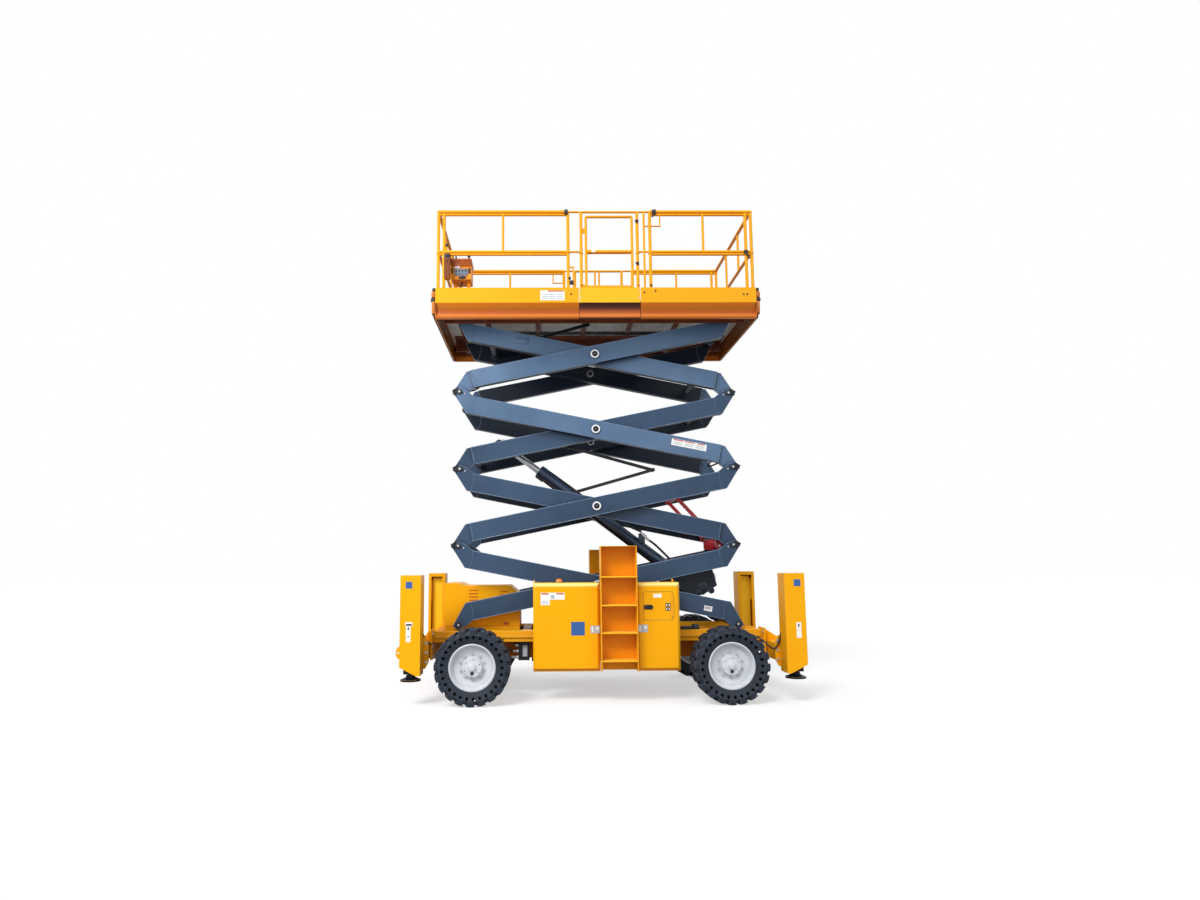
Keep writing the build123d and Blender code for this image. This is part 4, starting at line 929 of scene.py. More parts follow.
@dataclass
class StackDetails:
    """Welds, pivots, pin caps, tip plates, labels, hoses and prop seat of the scissor stack.

    Attributes:
        seam: Distance of the fork welds from the pins.
        bead: Radius of a weld bead.
        ring: Radius of the white ring on each middle pivot.
        corner: Distance of the painted highlight lines from a beam's centre line.
        lower_cap: Profile of the cap on the lowest pins.
        upper_cap: Profile of the cap on the upper pins.
        tip: Corners of the black plate beyond a fork's pin.
        beams: The arms, from the ground up.
    """

    seam: float = 0.18
    bead: float = 0.0032
    ring: float = 0.051
    corner: float = 0.1062
    lower_cap: Profile = ((-0.002, 0.036), (0.006, 0.036), (0.009, 0.032), (0.009, 0.0))
    upper_cap: Profile = ((-0.004, 0.033), (0.001, 0.033), (0.003, 0.03), (0.003, 0.0))
    tip: Profile = (
        (-0.0955, 0.004), (-0.043, -0.047), (-0.026, -0.047), (-0.026, 0.076))
    beams: tuple[Beam, ...] = tuple(Beam(level, lean) for level in (1, 2, 3, 4) for lean in "ab")

    def build(self) -> None:
        """Build every fitting of the stack."""
        for beam in self.beams:
            self.welds(beam)
            self.pin_locks(beam)
            if beam.level < 4:
                self.tips(beam)
            if beam.outer:
                self.pivots(beam)
        self.labels()
        self.hoses()
        self.bracket()
        for beam in self.beams:
            self.edges(beam)
        self.prop_seat()

    def welds(self, beam: Beam) -> None:
        """Lay a curved bead over each fork's seam and a bead along its lower edge.

        Args:
            beam: The arm.
        """
        bm = bmesh.new()
        for side in (-1, 1):
            for y in (beam.face - 0.0006, beam.face - beam.thick + 0.0006):
                for upper in (False, True):
                    bow = [beam.at_end(upper, self.seam + 0.016 * math.sin(math.pi * k / 6),
                                       0.026 + 0.208 * k / 6, side * y) for k in range(7)]
                    add_path(bm, bow, self.bead, 8)
                    low = [beam.at_end(upper, x, up, side * y) for x, up in (
                        (0.03, -0.045), (0.068, -0.038), (0.105, -0.017), (0.145, 0.004),
                        (self.seam, 0.024))]
                    add_path(bm, low, self.bead * 0.7, 6)
        mount(f"{beam.arm}_welds", bm, WELD_SLATE, beam.arm)

    def pin_locks(self, beam: Beam) -> None:
        """Add the dark caps on the pins' ends, their bolts and the upper pins' keepers.

        Args:
            beam: The arm.
        """
        bright, dark = bmesh.new(), bmesh.new()
        for side in (-1, 1):
            out = Vector((0, side, 0))
            if beam.level == 1:
                pin = beam.at_end(False, 0.0, 0.0, side * beam.face)
                add_turned(dark, self.lower_cap, pin, out, 28)
                add_bolt(bright, pin + out * 0.009, out, 0.013)
            if beam.level < 4:
                pin = beam.at_end(True, 0.0, 0.0, side * (beam.face + 0.008))
                add_turned(dark, self.upper_cap, pin, out, 28)
                add_bolt(bright, pin + out * 0.003, out, 0.013)
                # keeper that holds the pin from turning
                far = beam.at_end(True, 0.07, 0.012, side * (beam.face + 0.003))
                near = beam.at_end(True, 0.024, 0.004, side * (beam.face + 0.003))
                add_rod(dark, near, far, 0.0045, 8)
                add_bolt(bright, beam.at_end(True, 0.066, 0.011, side * (beam.face + 0.001)), out, 0.009)
        if bright.verts:
            mount(f"{beam.arm}_pin_bolts", bright, ZINC, beam.arm)
            mount(f"{beam.arm}_pin_keepers", dark, BLACK_STEEL, beam.arm)
        else:
            bright.free()
            dark.free()

    def tips(self, beam: Beam) -> None:
        """Add the thin black plates beyond the pin of each upper fork of an arm."""
        bm = bmesh.new()
        for side in (-1, 1):
            for base, out in ((beam.face, 1), (beam.face - beam.thick, -1)):
                inner = [beam.at_end(True, x, up, side * (base - out * 0.001)) for x, up in self.tip]
                outer = [beam.at_end(True, x, up, side * (base + out * 0.0022)) for x, up in self.tip]
                add_prism(bm, inner, outer)
        mount(f"{beam.arm}_tip_plates", bm, CRADLE_BLACK, beam.arm)

    def pivots(self, beam: Beam) -> None:
        """Add the ring, hub disc and grease nipple of a middle pivot, and the cap inside.

        Args:
            beam: The arm.
        """
        white, black, bright = bmesh.new(), bmesh.new(), bmesh.new()
        for side in (-1, 1):
            out = Vector((0, side, 0))
            seat = beam.at(0.0, 0.0, side * (beam.face + 0.014))
            add_turned(
                white, ((-0.002, self.ring), (0.0035, self.ring), (0.0055, self.ring - 0.002),
                (0.0055, 0.038), (0.0035, 0.036), (-0.002, 0.036), (-0.002, self.ring)), seat, out, 48)
            add_turned(
                black, ((-0.002, 0.0365), (0.002, 0.0365), (0.004, 0.033), (0.004, 0.0)), seat, out, 36)
            add_turned(bright, ((0.003, 0.005), (0.006, 0.005), (0.007, 0.004), (0.01, 0.0035),
                                (0.011, 0.0)), seat, out, 16)
            for k in range(4):
                turn = Matrix.Rotation(math.tau * (k + 0.5) / 4, 4, "Y") @ Vector((0.022, 0, 0))
                add_rod(black, seat + turn + out * 0.003, seat + turn + out * 0.0062, 0.0042, 6)
            cap = beam.at(0.0, 0.0, side * 0.36)
            add_turned(black, ((-0.002, 0.05), (0.004, 0.05), (0.006, 0.047), (0.006, 0.0)), cap, -out, 36)
            add_turned(white, ((0.005, 0.04), (0.0075, 0.039), (0.0075, 0.034), (0.005, 0.033),
                               (0.005, 0.04)), cap, -out, 36)
        mount(f"{beam.arm}_pivot_rings", white, RING_WHITE, beam.arm)
        mount(f"{beam.arm}_pivot_hubs", black, BLACK_STEEL, beam.arm)
        mount(f"{beam.arm}_grease_nipples", bright, ZINC, beam.arm)

    def plate(self, bm: Mesh, beam: Beam, centre: tuple[float, float], size: tuple[float, float],
              thick: float = 0.0006) -> None:
        """Lay a thin plate on the near face of a beam, in line with it.

        Args:
            bm: The mesh to add to.
            beam: The arm.
            centre: X and Z of the plate's middle.
            size: Length and height.
            thick: How far it stands off the face.
        """
        half = Vector((size[0] / 2, thick / 2 + 0.0002, size[1] / 2))
        middle = Vector((centre[0], -beam.face - thick / 2, centre[1]))
        add_block(bm, middle - half, middle + half, 0.0, beam.turn)

    def labels(self) -> None:
        """Stick the blank films on the near beams."""
        third, first = Beam(3, "b"), Beam(1, "b")
        white, red = bmesh.new(), bmesh.new()
        centre = Vector((1.133, 0.0, 2.979))
        self.plate(white, third, (1.133, 2.979), (0.432, 0.08))
        downhill = Vector((math.cos(third.tilt), 0.0, -math.sin(third.tilt)))
        up = Vector((math.sin(third.tilt), 0.0, math.cos(third.tilt)))
        for shift, length in ((-0.135, 0.12), (0.0, 0.12), (0.145, 0.09)):
            spot = centre + downhill * shift + up * 0.03
            self.plate(red, third, (spot.x, spot.z), (length, 0.012), 0.0012)
        mount("arm_3b_label", white, LABEL_WHITE, third.arm)
        mount("arm_3b_label_red", red, LABEL_RED, third.arm)
        grey = bmesh.new()
        for shift in (-0.135, 0.0, 0.135):
            for row in (-0.018, 0.002):
                spot = centre + downhill * shift + up * row
                self.plate(grey, third, (spot.x, spot.z), (0.105, 0.01), 0.0012)
        mount("arm_3b_label_fields", grey, LABEL_GREY, third.arm)
        small, field_marks = bmesh.new(), bmesh.new()
        self.plate(small, first, (1.308, 1.012), (0.098, 0.06))
        self.plate(field_marks, first, (1.308, 1.018), (0.07, 0.03), 0.0012)
        mount("arm_1b_label", small, LABEL_WHITE, first.arm)
        mount("arm_1b_label_field", field_marks, LABEL_GREY, first.arm)

    def hoses(self) -> None:
        """Lay the hose loops where the bundle passes the end pivots, and the runs along the inside of the
        near inner beams.
        """
        loop = ((-1.643, -0.42, 3.768), (-1.58, -0.43, 3.7), (-1.523, -0.42, 3.692), (-1.45, -0.41, 3.72),
                (-1.402, -0.4, 3.781))
        hose("arm_3a_hose_loop", (loop,), 0.011, HOSE_RUBBER, "arm_4a")
        loop = ((1.358, -0.43, 2.875), (1.43, -0.42, 2.86), (1.468, -0.42, 2.825), (1.4, -0.42, 2.77),
                (1.379, -0.42, 2.726), (1.47, -0.42, 2.75), (1.567, -0.42, 2.8))
        hose("arm_2b_hose_loop", (loop,), 0.01, HOSE_RUBBER, "arm_2a")
        for level, lean in ((1, "a"), (2, "b"), (3, "a"), (4, "b")):
            beam = Beam(level, lean)
            runs = [[beam.at(-1.35 + 0.3 * k, 0.07 + 0.006 * math.sin(1.7 * k + lane),
                             -(0.352 - 0.018 * lane)) for k in range(10)] for lane in range(3)]
            clips = bmesh.new()
            # the prop's seat leaves room for the top clip only on its arm
            for k in (4,) if beam.arm == "arm_2b" else range(5):
                base = beam.at(-1.2 + 0.6 * k, 0.07, -0.344)
                half = Vector((0.014, 0.036, 0.02))
                add_block(clips, base - half, base + half, 0.004, beam.turn)
            hose(f"{beam.arm}_hoses", runs, 0.008, HOSE_RUBBER, beam.arm)
            mount(f"{beam.arm}_hose_clips", clips, BLACK_PLASTIC, beam.arm)

    def bracket(self) -> None:
        """Add the small plate on the outside of the top beam."""
        top = Beam(4, "b")
        bm = bmesh.new()
        half = Vector((0.068, 0.004, 0.036))
        spot = Vector((-0.89, -0.474, 4.318))
        add_block(bm, spot - half, spot + half, 0.003, top.turn)
        mount("arm_4b_bracket", bm, WELD_SLATE, top.arm)

    def edges(self, beam: Beam) -> None:
        """Draw pale lines along a beam's outside corners, a painted highlight."""
        bm = bmesh.new()
        reach = beam.half - self.seam
        for side in (-1, 1):
            for high in (-self.corner, self.corner):
                y = side * (beam.face - 0.0012)
                add_rod(bm, beam.at(-reach, high, y), beam.at(reach, high, y), 0.0034, 8)
        mount(f"{beam.arm}_edges", bm, HIGHLIGHT_LINE_SLATE, beam.arm)

    def prop_seat(self) -> None:
        """Add the red seat that the maintenance prop lands on, with its rounded nose and pin."""
        seat, pin = bmesh.new(), bmesh.new()
        outline = ((1.475, 1.845), (1.472, 1.745), (1.495, 1.722), (1.57, 1.722), (1.66, 1.748),
                   (1.718, 1.78), (1.71, 1.8), (1.64, 1.842), (1.55, 1.858))
        for low, high in ((-0.352, -0.322), (0.322, 0.352)):
            add_prism(seat, [Vector((x, low, z)) for x, z in outline],
                      [Vector((x, high, z)) for x, z in outline])
        for y in (-0.353, 0.353):
            add_rod(pin, (1.518, y, 1.757), (1.518, y * 0.99, 1.757), 0.014, 24)
        mount("prop_seat", seat, SIGNAL_RED, "arm_2b")
        mount("prop_seat_pin", pin, ZINC, "arm_2b")


@dataclass
class CylinderDetails:
    """Gland, welds, valve and feed hose of the lift cylinder.

    Attributes:
        base: Axis of the base pin.
        eye: Axis of the rod's eye.
        length: Length of the barrel.
        weld_rings: Distances of the weld rings from the base pin.
    """

    base: Point = (1.2387, 0.0, 1.2589)
    eye: Point = (-1.1594, 0.0, 3.0875)
    length: float = 2.43
    weld_rings: tuple[float, ...] = (0.16, 1.55)

    def build(self) -> None:
        """Build the fittings of the barrel and of the cradle that holds it."""
        self.gland()
        self.fittings()
        self.cradle()

    def gland(self) -> None:
        """Add the gland with its bolts and the weld rings of the barrel."""
        start = Vector(self.base)
        line = (Vector(self.eye) - start).normalized()
        rings, bright = bmesh.new(), bmesh.new()
        head = start + line * (self.length - 0.05)
        add_turned(
            rings, ((0.0, 0.077), (0.0, 0.086), (0.004, 0.088), (0.046, 0.088), (0.052, 0.084),
            (0.058, 0.07), (0.06, 0.046)), head, line, 48)
        for along_barrel in self.weld_rings:
            add_turned(rings, ((0.0, 0.077), (0.006, 0.081), (0.012, 0.077)), start + line * along_barrel,
                       line, 48)
        for k in range(6):
            spoke = line.orthogonal().normalized()
            spoke.rotate(Matrix.Rotation(math.tau * k / 6, 3, line))
            add_rod(
                bright, head + line * 0.05 + spoke * 0.066, head + line * 0.064 + spoke * 0.066, 0.008, 6)
        mount("cylinder_gland", rings, CYLINDER_SLATE, "lift_barrel", 30.0)
        mount("cylinder_gland_bolts", bright, ZINC, "lift_barrel")

    def fittings(self) -> None:
        """Add the pipe fitting above the barrel, its port block and the feed hose."""
        fitting, stand = bmesh.new(), bmesh.new()
        a, b = Vector((0.582, -0.1, 1.94)), Vector((0.681, -0.1, 1.845))
        add_rod(fitting, a, b, 0.017, 6)
        add_rod(fitting, a + (b - a) * 0.3, a + (b - a) * 0.62, 0.024, 6)
        add_rod(fitting, b, b + (b - a) * 0.22, 0.013, 16)
        add_block(stand, (0.56, -0.095, 1.805), (0.64, -0.03, 1.925), 0.006)
        mount("cylinder_fitting", fitting, ZINC, "lift_barrel")
        mount("cylinder_port_block", stand, CYLINDER_SLATE, "lift_barrel")
        hose("cylinder_feed_hose", (
            ((0.69, -0.1, 1.838), (0.76, -0.1, 1.79), (0.827, -0.1, 1.722), (0.9, -0.1, 1.65),
             (0.963, -0.095, 1.585), (1.05, -0.09, 1.5)),
            ((0.6, -0.06, 1.95), (0.35, -0.055, 2.05), (0.0, -0.05, 2.3), (-0.35, -0.04, 2.57),
             (-0.62, -0.03, 2.765)),), 0.014, HOSE_RUBBER, "lift_barrel")

    def cradle(self) -> None:
        """Add the cradle's bosses and rod, and the hose loops at the cylinder's base."""
        bosses, rod = bmesh.new(), bmesh.new()
        for x, z, r in ((1.3, 1.262, 0.052), (1.395, 1.218, 0.04), (1.245, 1.19, 0.034)):
            for side in (-1, 1):
                add_turned(
                    bosses, ((-0.002, r), (0.001, r), (0.0018, r - 0.001), (0.0018, 0.016),
                    (0.0008, 0.012), (0.0008, 0.0)), (x, side * 0.3802, z), (0, side, 0), 32)
        add_rod(rod, (1.452, -0.36, 1.27), (1.452, -0.36, 1.405), 0.007, 12)
        add_rod(rod, (1.452, -0.36, 1.4), (1.43, -0.36, 1.432), 0.007, 12)
        mount("cradle_bosses", bosses, CRADLE_BLACK, "arm_1a", 40.0)
        mount("cradle_rods", rod, ZINC, "arm_1a")
        hose("cylinder_base_loops", (
            ((1.317, -0.16, 1.481), (1.34, -0.17, 1.41), (1.387, -0.17, 1.37), (1.44, -0.165, 1.4),
             (1.458, -0.15, 1.487)),
            ((1.3, -0.11, 1.47), (1.33, -0.12, 1.43), (1.37, -0.12, 1.41), (1.42, -0.11, 1.45),
             (1.44, -0.1, 1.5)),), 0.01, HOSE_RUBBER, "arm_1a")


@dataclass
class WheelDetails:
    """Studs, hub cover, ports and tread of one wheel.

    Attributes:
        end: "front" or "rear".
        side_name: "near" or "far".
        side: -1 near, 1 far.
        hub_x: Distance of the hub from the middle.
        hub_z: Height of the hub.
        port_count: Number of oval ports in a sidewall.
        port_radius: Distance of the ports from the hub's axis.
        slope_deg: Slope of the sidewall at the ports.
        lug_count: Number of lugs round one half of the tyre.
    """

    end: str
    side_name: str
    side: int
    hub_x: float = 1.4315
    hub_z: float = 0.419
    port_count: int = 29
    port_radius: float = 0.333
    slope_deg: float = 17.0
    lug_count: int = 20

    @property
    def body(self) -> str:
        """Body that the wheel turns with."""
        return f"wheel_{self.end}_{self.side_name}"

    def at(self, radius: float, turn: float, y: float) -> Vector:
        """Point of the wheel.

        Args:
            radius: Distance from the hub's axis.
            turn: Angle about that axis.
            y: Distance from the machine's middle.

        Returns:
            The point.
        """
        x = self.hub_x * (-1 if self.end == "front" else 1)
        return Vector((x + radius * math.cos(turn), self.side * y, self.hub_z + radius * math.sin(turn)))

    def build(self) -> None:
        """Build the wheel's fittings."""
        self.studs()
        self.hub()
        self.ports()
        self.shoulders()

    def shoulders(self) -> None:
        """Add the lugs' blocks, which run down over the shoulder on both sides of the tyre."""
        bm = bmesh.new()
        wedge = ((0.35, 0.1541), (0.391, 0.1541), (0.415, 0.1515), (0.415, 0.128), (0.352, 0.146))
        block = ((0.394, 0.1495), (0.4184, 0.1495), (0.4184, 0.016), (0.394, 0.016))
        for outside in (True, False):
            # the lugs of the two halves are half a step apart
            start = 1.6 if (self.side < 0) == outside else -7.4
            flip = 1 if outside else -1
            for k in range(self.lug_count):
                middle = math.radians(90.0 - (start + 360.0 / self.lug_count * k))
                for section, half in ((wedge, 5.4), (block, 5.9)):
                    rows = [[self.at(r, middle + math.radians(edge * (half + 14.0 * (r - 0.415))
                                                              - 5.6 * (0.154 - y) / 0.166), 0.999 + flip * y)
                             for r, y in section] for edge in (-1, 1)]
                    add_prism(bm, rows[0], rows[1])
        mount(f"tyre_shoulders_{self.end}_{self.side_name}", bm, TYRE_RUBBER, self.body, 30.0)

    def studs(self) -> None:
        """Wheel nuts on studs round the disc."""
        bm = bmesh.new()
        out = Vector((0, self.side, 0))
        for k in range(10):
            seat = self.at(0.139, math.tau * (k + 0.5) / 10, 1.051)
            add_rod(bm, seat - out * 0.003, seat + out * 0.003, 0.0125, 20, 0.011)
            add_rod(bm, seat + out * 0.002, seat + out * 0.012, 0.0098, 6)
            add_rod(bm, seat + out * 0.011, seat + out * 0.018, 0.0055, 12, 0.0048)
        mount(f"wheel_studs_{self.end}_{self.side_name}", bm, ZINC, self.body)

    def hub(self) -> None:
        """Cover rings, cap bolts and the drain plug."""
        pale, dark = bmesh.new(), bmesh.new()
        out = Vector((0, self.side, 0))
        add_turned(
            pale, ((-0.058, 0.1), (-0.01, 0.105), (-0.003, 0.105), (0.002, 0.101), (0.0025, 0.06),
            (0.0025, 0.04)), self.at(0, 0, 1.108), out, 64)
        add_turned(pale, ((0.0, 0.034), (0.002, 0.034), (0.0035, 0.031), (0.0035, 0.0)),
                   self.at(0, 0, 1.1325), out, 40)
        for k in range(6):
            seat = self.at(0.088, math.tau * k / 6 + 0.4, 1.1095)
            add_rod(dark, seat, seat + out * 0.004, 0.0045, 12)
        plug = self.at(0.06, -math.pi / 2, 1.1095)
        add_rod(dark, plug, plug + out * 0.01, 0.018, 24)
        add_rod(dark, plug + out * 0.009, plug + out * 0.015, 0.009, 6)
        mount(f"hub_cover_{self.end}_{self.side_name}", pale, WHEEL_GREY, self.body, 30.0)
        mount(f"hub_plugs_{self.end}_{self.side_name}", dark, BLACK_STEEL, self.body)

    def ports(self) -> None:
        """Add near-black ovals, painted shade for the ports moulded in the sidewall, and the white balance
        mark.
        """
        holes = bmesh.new()
        slope = math.radians(self.slope_deg)
        for k in range(self.port_count):
            turn = math.tau * k / self.port_count
            centre = self.at(self.port_radius, turn, 1.147)
            radial = Vector((math.cos(turn), 0, math.sin(turn)))
            out = Vector((0, self.side, 0))
            across = out.cross(radial)
            face = (out * math.cos(slope) - radial * math.sin(slope)).normalized()
            up = (radial - face * radial.dot(face)).normalized()
            basis = Matrix((up, across, face)).transposed().to_4x4()
            bmesh.ops.create_uvsphere(holes, u_segments=16, v_segments=8, radius=1.0,
                                      matrix=Matrix.Translation(centre) @ basis @ Matrix.Diagonal(
                                          (0.021, 0.016, 0.0034, 1.0)))
        mount(f"tyre_ports_{self.end}_{self.side_name}", holes, PORT_SHADE, self.body, 60.0)
        spot = (0.032, -0.349) if self.end == "front" else (0.302, 0.154)
        x = self.hub_x * (-1 if self.end == "front" else 1) + spot[0]
        mark = bmesh.new()
        centre = Vector((x, self.side * 1.1505, self.hub_z + spot[1]))
        add_rod(mark, centre - Vector((0, self.side * 0.004, 0)),
                centre + Vector((0, self.side * 0.0015, 0)), 0.011, 16)
        mount(f"tyre_mark_{self.end}_{self.side_name}", mark, RING_WHITE, self.body)


@dataclass
class ChassisDetails:
    """Drive line, steering, valve fittings, bolts and hoses of the chassis.

    Attributes:
        axle_x: Distance of the axles from the middle.
        axle_z: Height of the axles.
    """

    axle_x: float = 1.4315
    axle_z: float = 0.419

    def build(self) -> None:
        """Build the chassis fittings."""
        self.drive_line()
        self.steering()
        self.valves()
        self.bolts()
        self.hoses()

    def drive_line(self) -> None:
        """Differential housings, their ribs and the two propeller shafts."""
        cast, shaft = bmesh.new(), bmesh.new()
        for sx in (-1, 1):
            x, z = sx * self.axle_x, self.axle_z
            add_turned(
                cast, ((-0.135, 0.0), (-0.13, 0.055), (-0.105, 0.1), (-0.06, 0.128), (0.0, 0.132),
                (0.05, 0.12), (0.085, 0.078), (0.12, 0.062), (0.125, 0.045), (0.155, 0.045), (0.155, 0.0)),
                (x, 0.0, z), (-sx, 0, 0), 40)
            for side in (-1, 1):
                add_turned(cast, ((0.1, 0.105), (0.13, 0.1), (0.3, 0.078), (0.42, 0.075), (0.42, 0.0)),
                           (x, 0.0, z), (0, side, 0), 32)
            for k in range(8):
                turn = math.tau * k / 8
                seat = Vector((x + sx * 0.105, 0.088 * math.cos(turn), z + 0.088 * math.sin(turn)))
                add_bolt(cast, seat, (sx, 0, 0), 0.011)
            a, b = Vector((x - sx * 0.15, 0, z)), Vector((sx * 0.8, 0, 0.452))
            add_rod(shaft, a, b, 0.03, 24)
            for share in (0.2, 0.5):
                spot = a.lerp(b, share)
                add_rod(shaft, spot, spot + (b - a).normalized() * 0.03, 0.042, 24)
        mount("differentials", cast, BLACK_STEEL, "chassis", 40.0)
        mount("propeller_shafts", shaft, ZINC, "chassis")

    def steering(self) -> None:
        """Steering cylinder on the front axle and the link on each knuckle's arm."""
        body, rod = bmesh.new(), bmesh.new()
        x, z = -self.axle_x + 0.128, self.axle_z + 0.03
        add_rod(body, (x, -0.3, z), (x, 0.3, z), 0.036, 32)
        for y in (-0.3, 0.28):
            add_rod(body, (x, y, z), (x, y + 0.02, z), 0.044, 32)
        for y in (-0.18, 0.18):
            add_block(body, (x - 0.085, y - 0.02, z - 0.045), (x + 0.01, y + 0.02, z + 0.045), 0.006)
        add_rod(rod, (x, -0.66, z), (x, 0.66, z), 0.017, 24)
        mount("steering_cylinder", body, BLACK_STEEL, "chassis")
        mount("steering_rod", rod, HARD_CHROME, "chassis")
        for word, side in SIDES:
            link = bmesh.new()
            add_rod(link, (x, side * 0.745, z), (x, side * 0.8, z), 0.014, 20)
            add_turned(link, ((-0.026, 0.0), (-0.026, 0.022), (-0.018, 0.03), (0.018, 0.03),
                              (0.026, 0.022), (0.026, 0.0)), (x, side * 0.8, z), UP, 24)
            mount(f"steering_link_{word}", link, BLACK_STEEL, f"knuckle_{word}")

    def valves(self) -> None:
        """Label, spools and unions of the hanging valve block."""
        label, zinc, dark = bmesh.new(), bmesh.new(), bmesh.new()
        add_block(label, (-0.894, -0.4862, 0.461), (-0.841, -0.4848, 0.592))
        for z in (0.449, 0.52, 0.59):
            add_rod(zinc, (-0.948, -0.445, z), (-1.029 + (z - 0.449) * 0.3, -0.445, z), 0.015, 6)
            add_rod(zinc, (-0.943, -0.445, z), (-0.962, -0.445, z), 0.021, 20)
        add_rod(dark, (-0.85, -0.484, 0.618), (-0.85, -0.497, 0.618), 0.014, 20)
        for k in range(3):
            x = -0.917 + 0.03 * k
            add_rod(dark, (x, -0.484, 0.645), (x, -0.494, 0.645), 0.009, 6)
        mount("valve_label", label, LABEL_GREY, "chassis")
        mount("valve_unions", zinc, ZINC, "chassis")
        mount("valve_plugs", dark, BLACK_PLASTIC, "chassis")
        # couplings and tank cap that sit on the frame behind the rear cabinet
        bits = bmesh.new()
        add_block(bits, (1.0, -0.53, 0.765), (1.13, -0.43, 0.8), 0.006)
        add_turned(bits, ((0.0, 0.045), (0.05, 0.045), (0.06, 0.038), (0.06, 0.0)),
                   (1.17, -0.47, 0.764), UP, 32)
        mount("rail_couplings", bits, BLACK_PLASTIC, "chassis")

    def bolts(self) -> None:
        """Bolts of the outrigger brackets, the end plates and the axle saddles."""
        bm = bmesh.new()
        for sx, face in ((-1, 1.975), (1, 2.02)):
            for side in (-1, 1):
                for z in (0.455, 0.56, 0.665):
                    add_bolt(bm, (sx * face, side * 0.879, z), (0, side, 0), 0.016)
                for z in (0.48, 0.6, 0.74):
                    add_bolt(bm, (sx * 1.95, side * 0.582, z), (-sx, 0, 0), 0.016)
                for dx in (-0.06, 0.06):
                    for z in (0.5, 0.6):
                        add_bolt(bm, (sx * self.axle_x + dx, side * 0.55, z), (0, side, 0), 0.014)
        for side in (-1, 1):
            for x in (-1.8, -1.05, 1.05, 1.8):
                add_bolt(bm, (x, side * 0.56, 0.7), (0, side, 0), 0.012)
        mount("chassis_bolts", bm, ZINC, "chassis")

    def hoses(self) -> None:
        """Hoses to the outrigger legs and along the rails."""
        runs = []
        for side in (-1, 1):
            runs.append([(1.74, side * 0.6, 0.7), (1.792, side * 0.8, 0.712),
                         (1.87, side * 0.875, 0.66), (1.961, side * 0.885, 0.56),
                         (2.03, side * 0.9, 0.62), (2.06, side * 0.905, 0.76)])
            runs.append([(-1.96, side * 0.61, 0.62), (-1.985, side * 0.76, 0.665),
                         (-1.995, side * 0.84, 0.7), (-2.02, side * 0.885, 0.79)])
            for lane in range(3):
                runs.append([(-1.15 + 0.3 * k, side * 0.388,
                              0.69 + 0.022 * lane + 0.005 * math.sin(2.3 * k + lane)) for k in range(8)])
        runs.append([(-1.02, -0.445, 0.449), (-1.1, -0.45, 0.455), (-1.16, -0.5, 0.5),
                     (-1.18, -0.56, 0.62)])
        runs.append([(-1.0, -0.445, 0.52), (-1.08, -0.46, 0.535), (-1.12, -0.52, 0.6),
                     (-1.12, -0.56, 0.67)])
        hose("chassis_hoses", runs, 0.009, HOSE_RUBBER, "chassis")
        clips = bmesh.new()
        for side in (-1, 1):
            for k in range(4):
                x = -1.0 + 0.55 * k
                add_block(clips, (x, side * 0.376, 0.675), (x + 0.03, side * 0.401, 0.752), 0.003)
        mount("chassis_hose_clips", clips, BLACK_PLASTIC, "chassis")


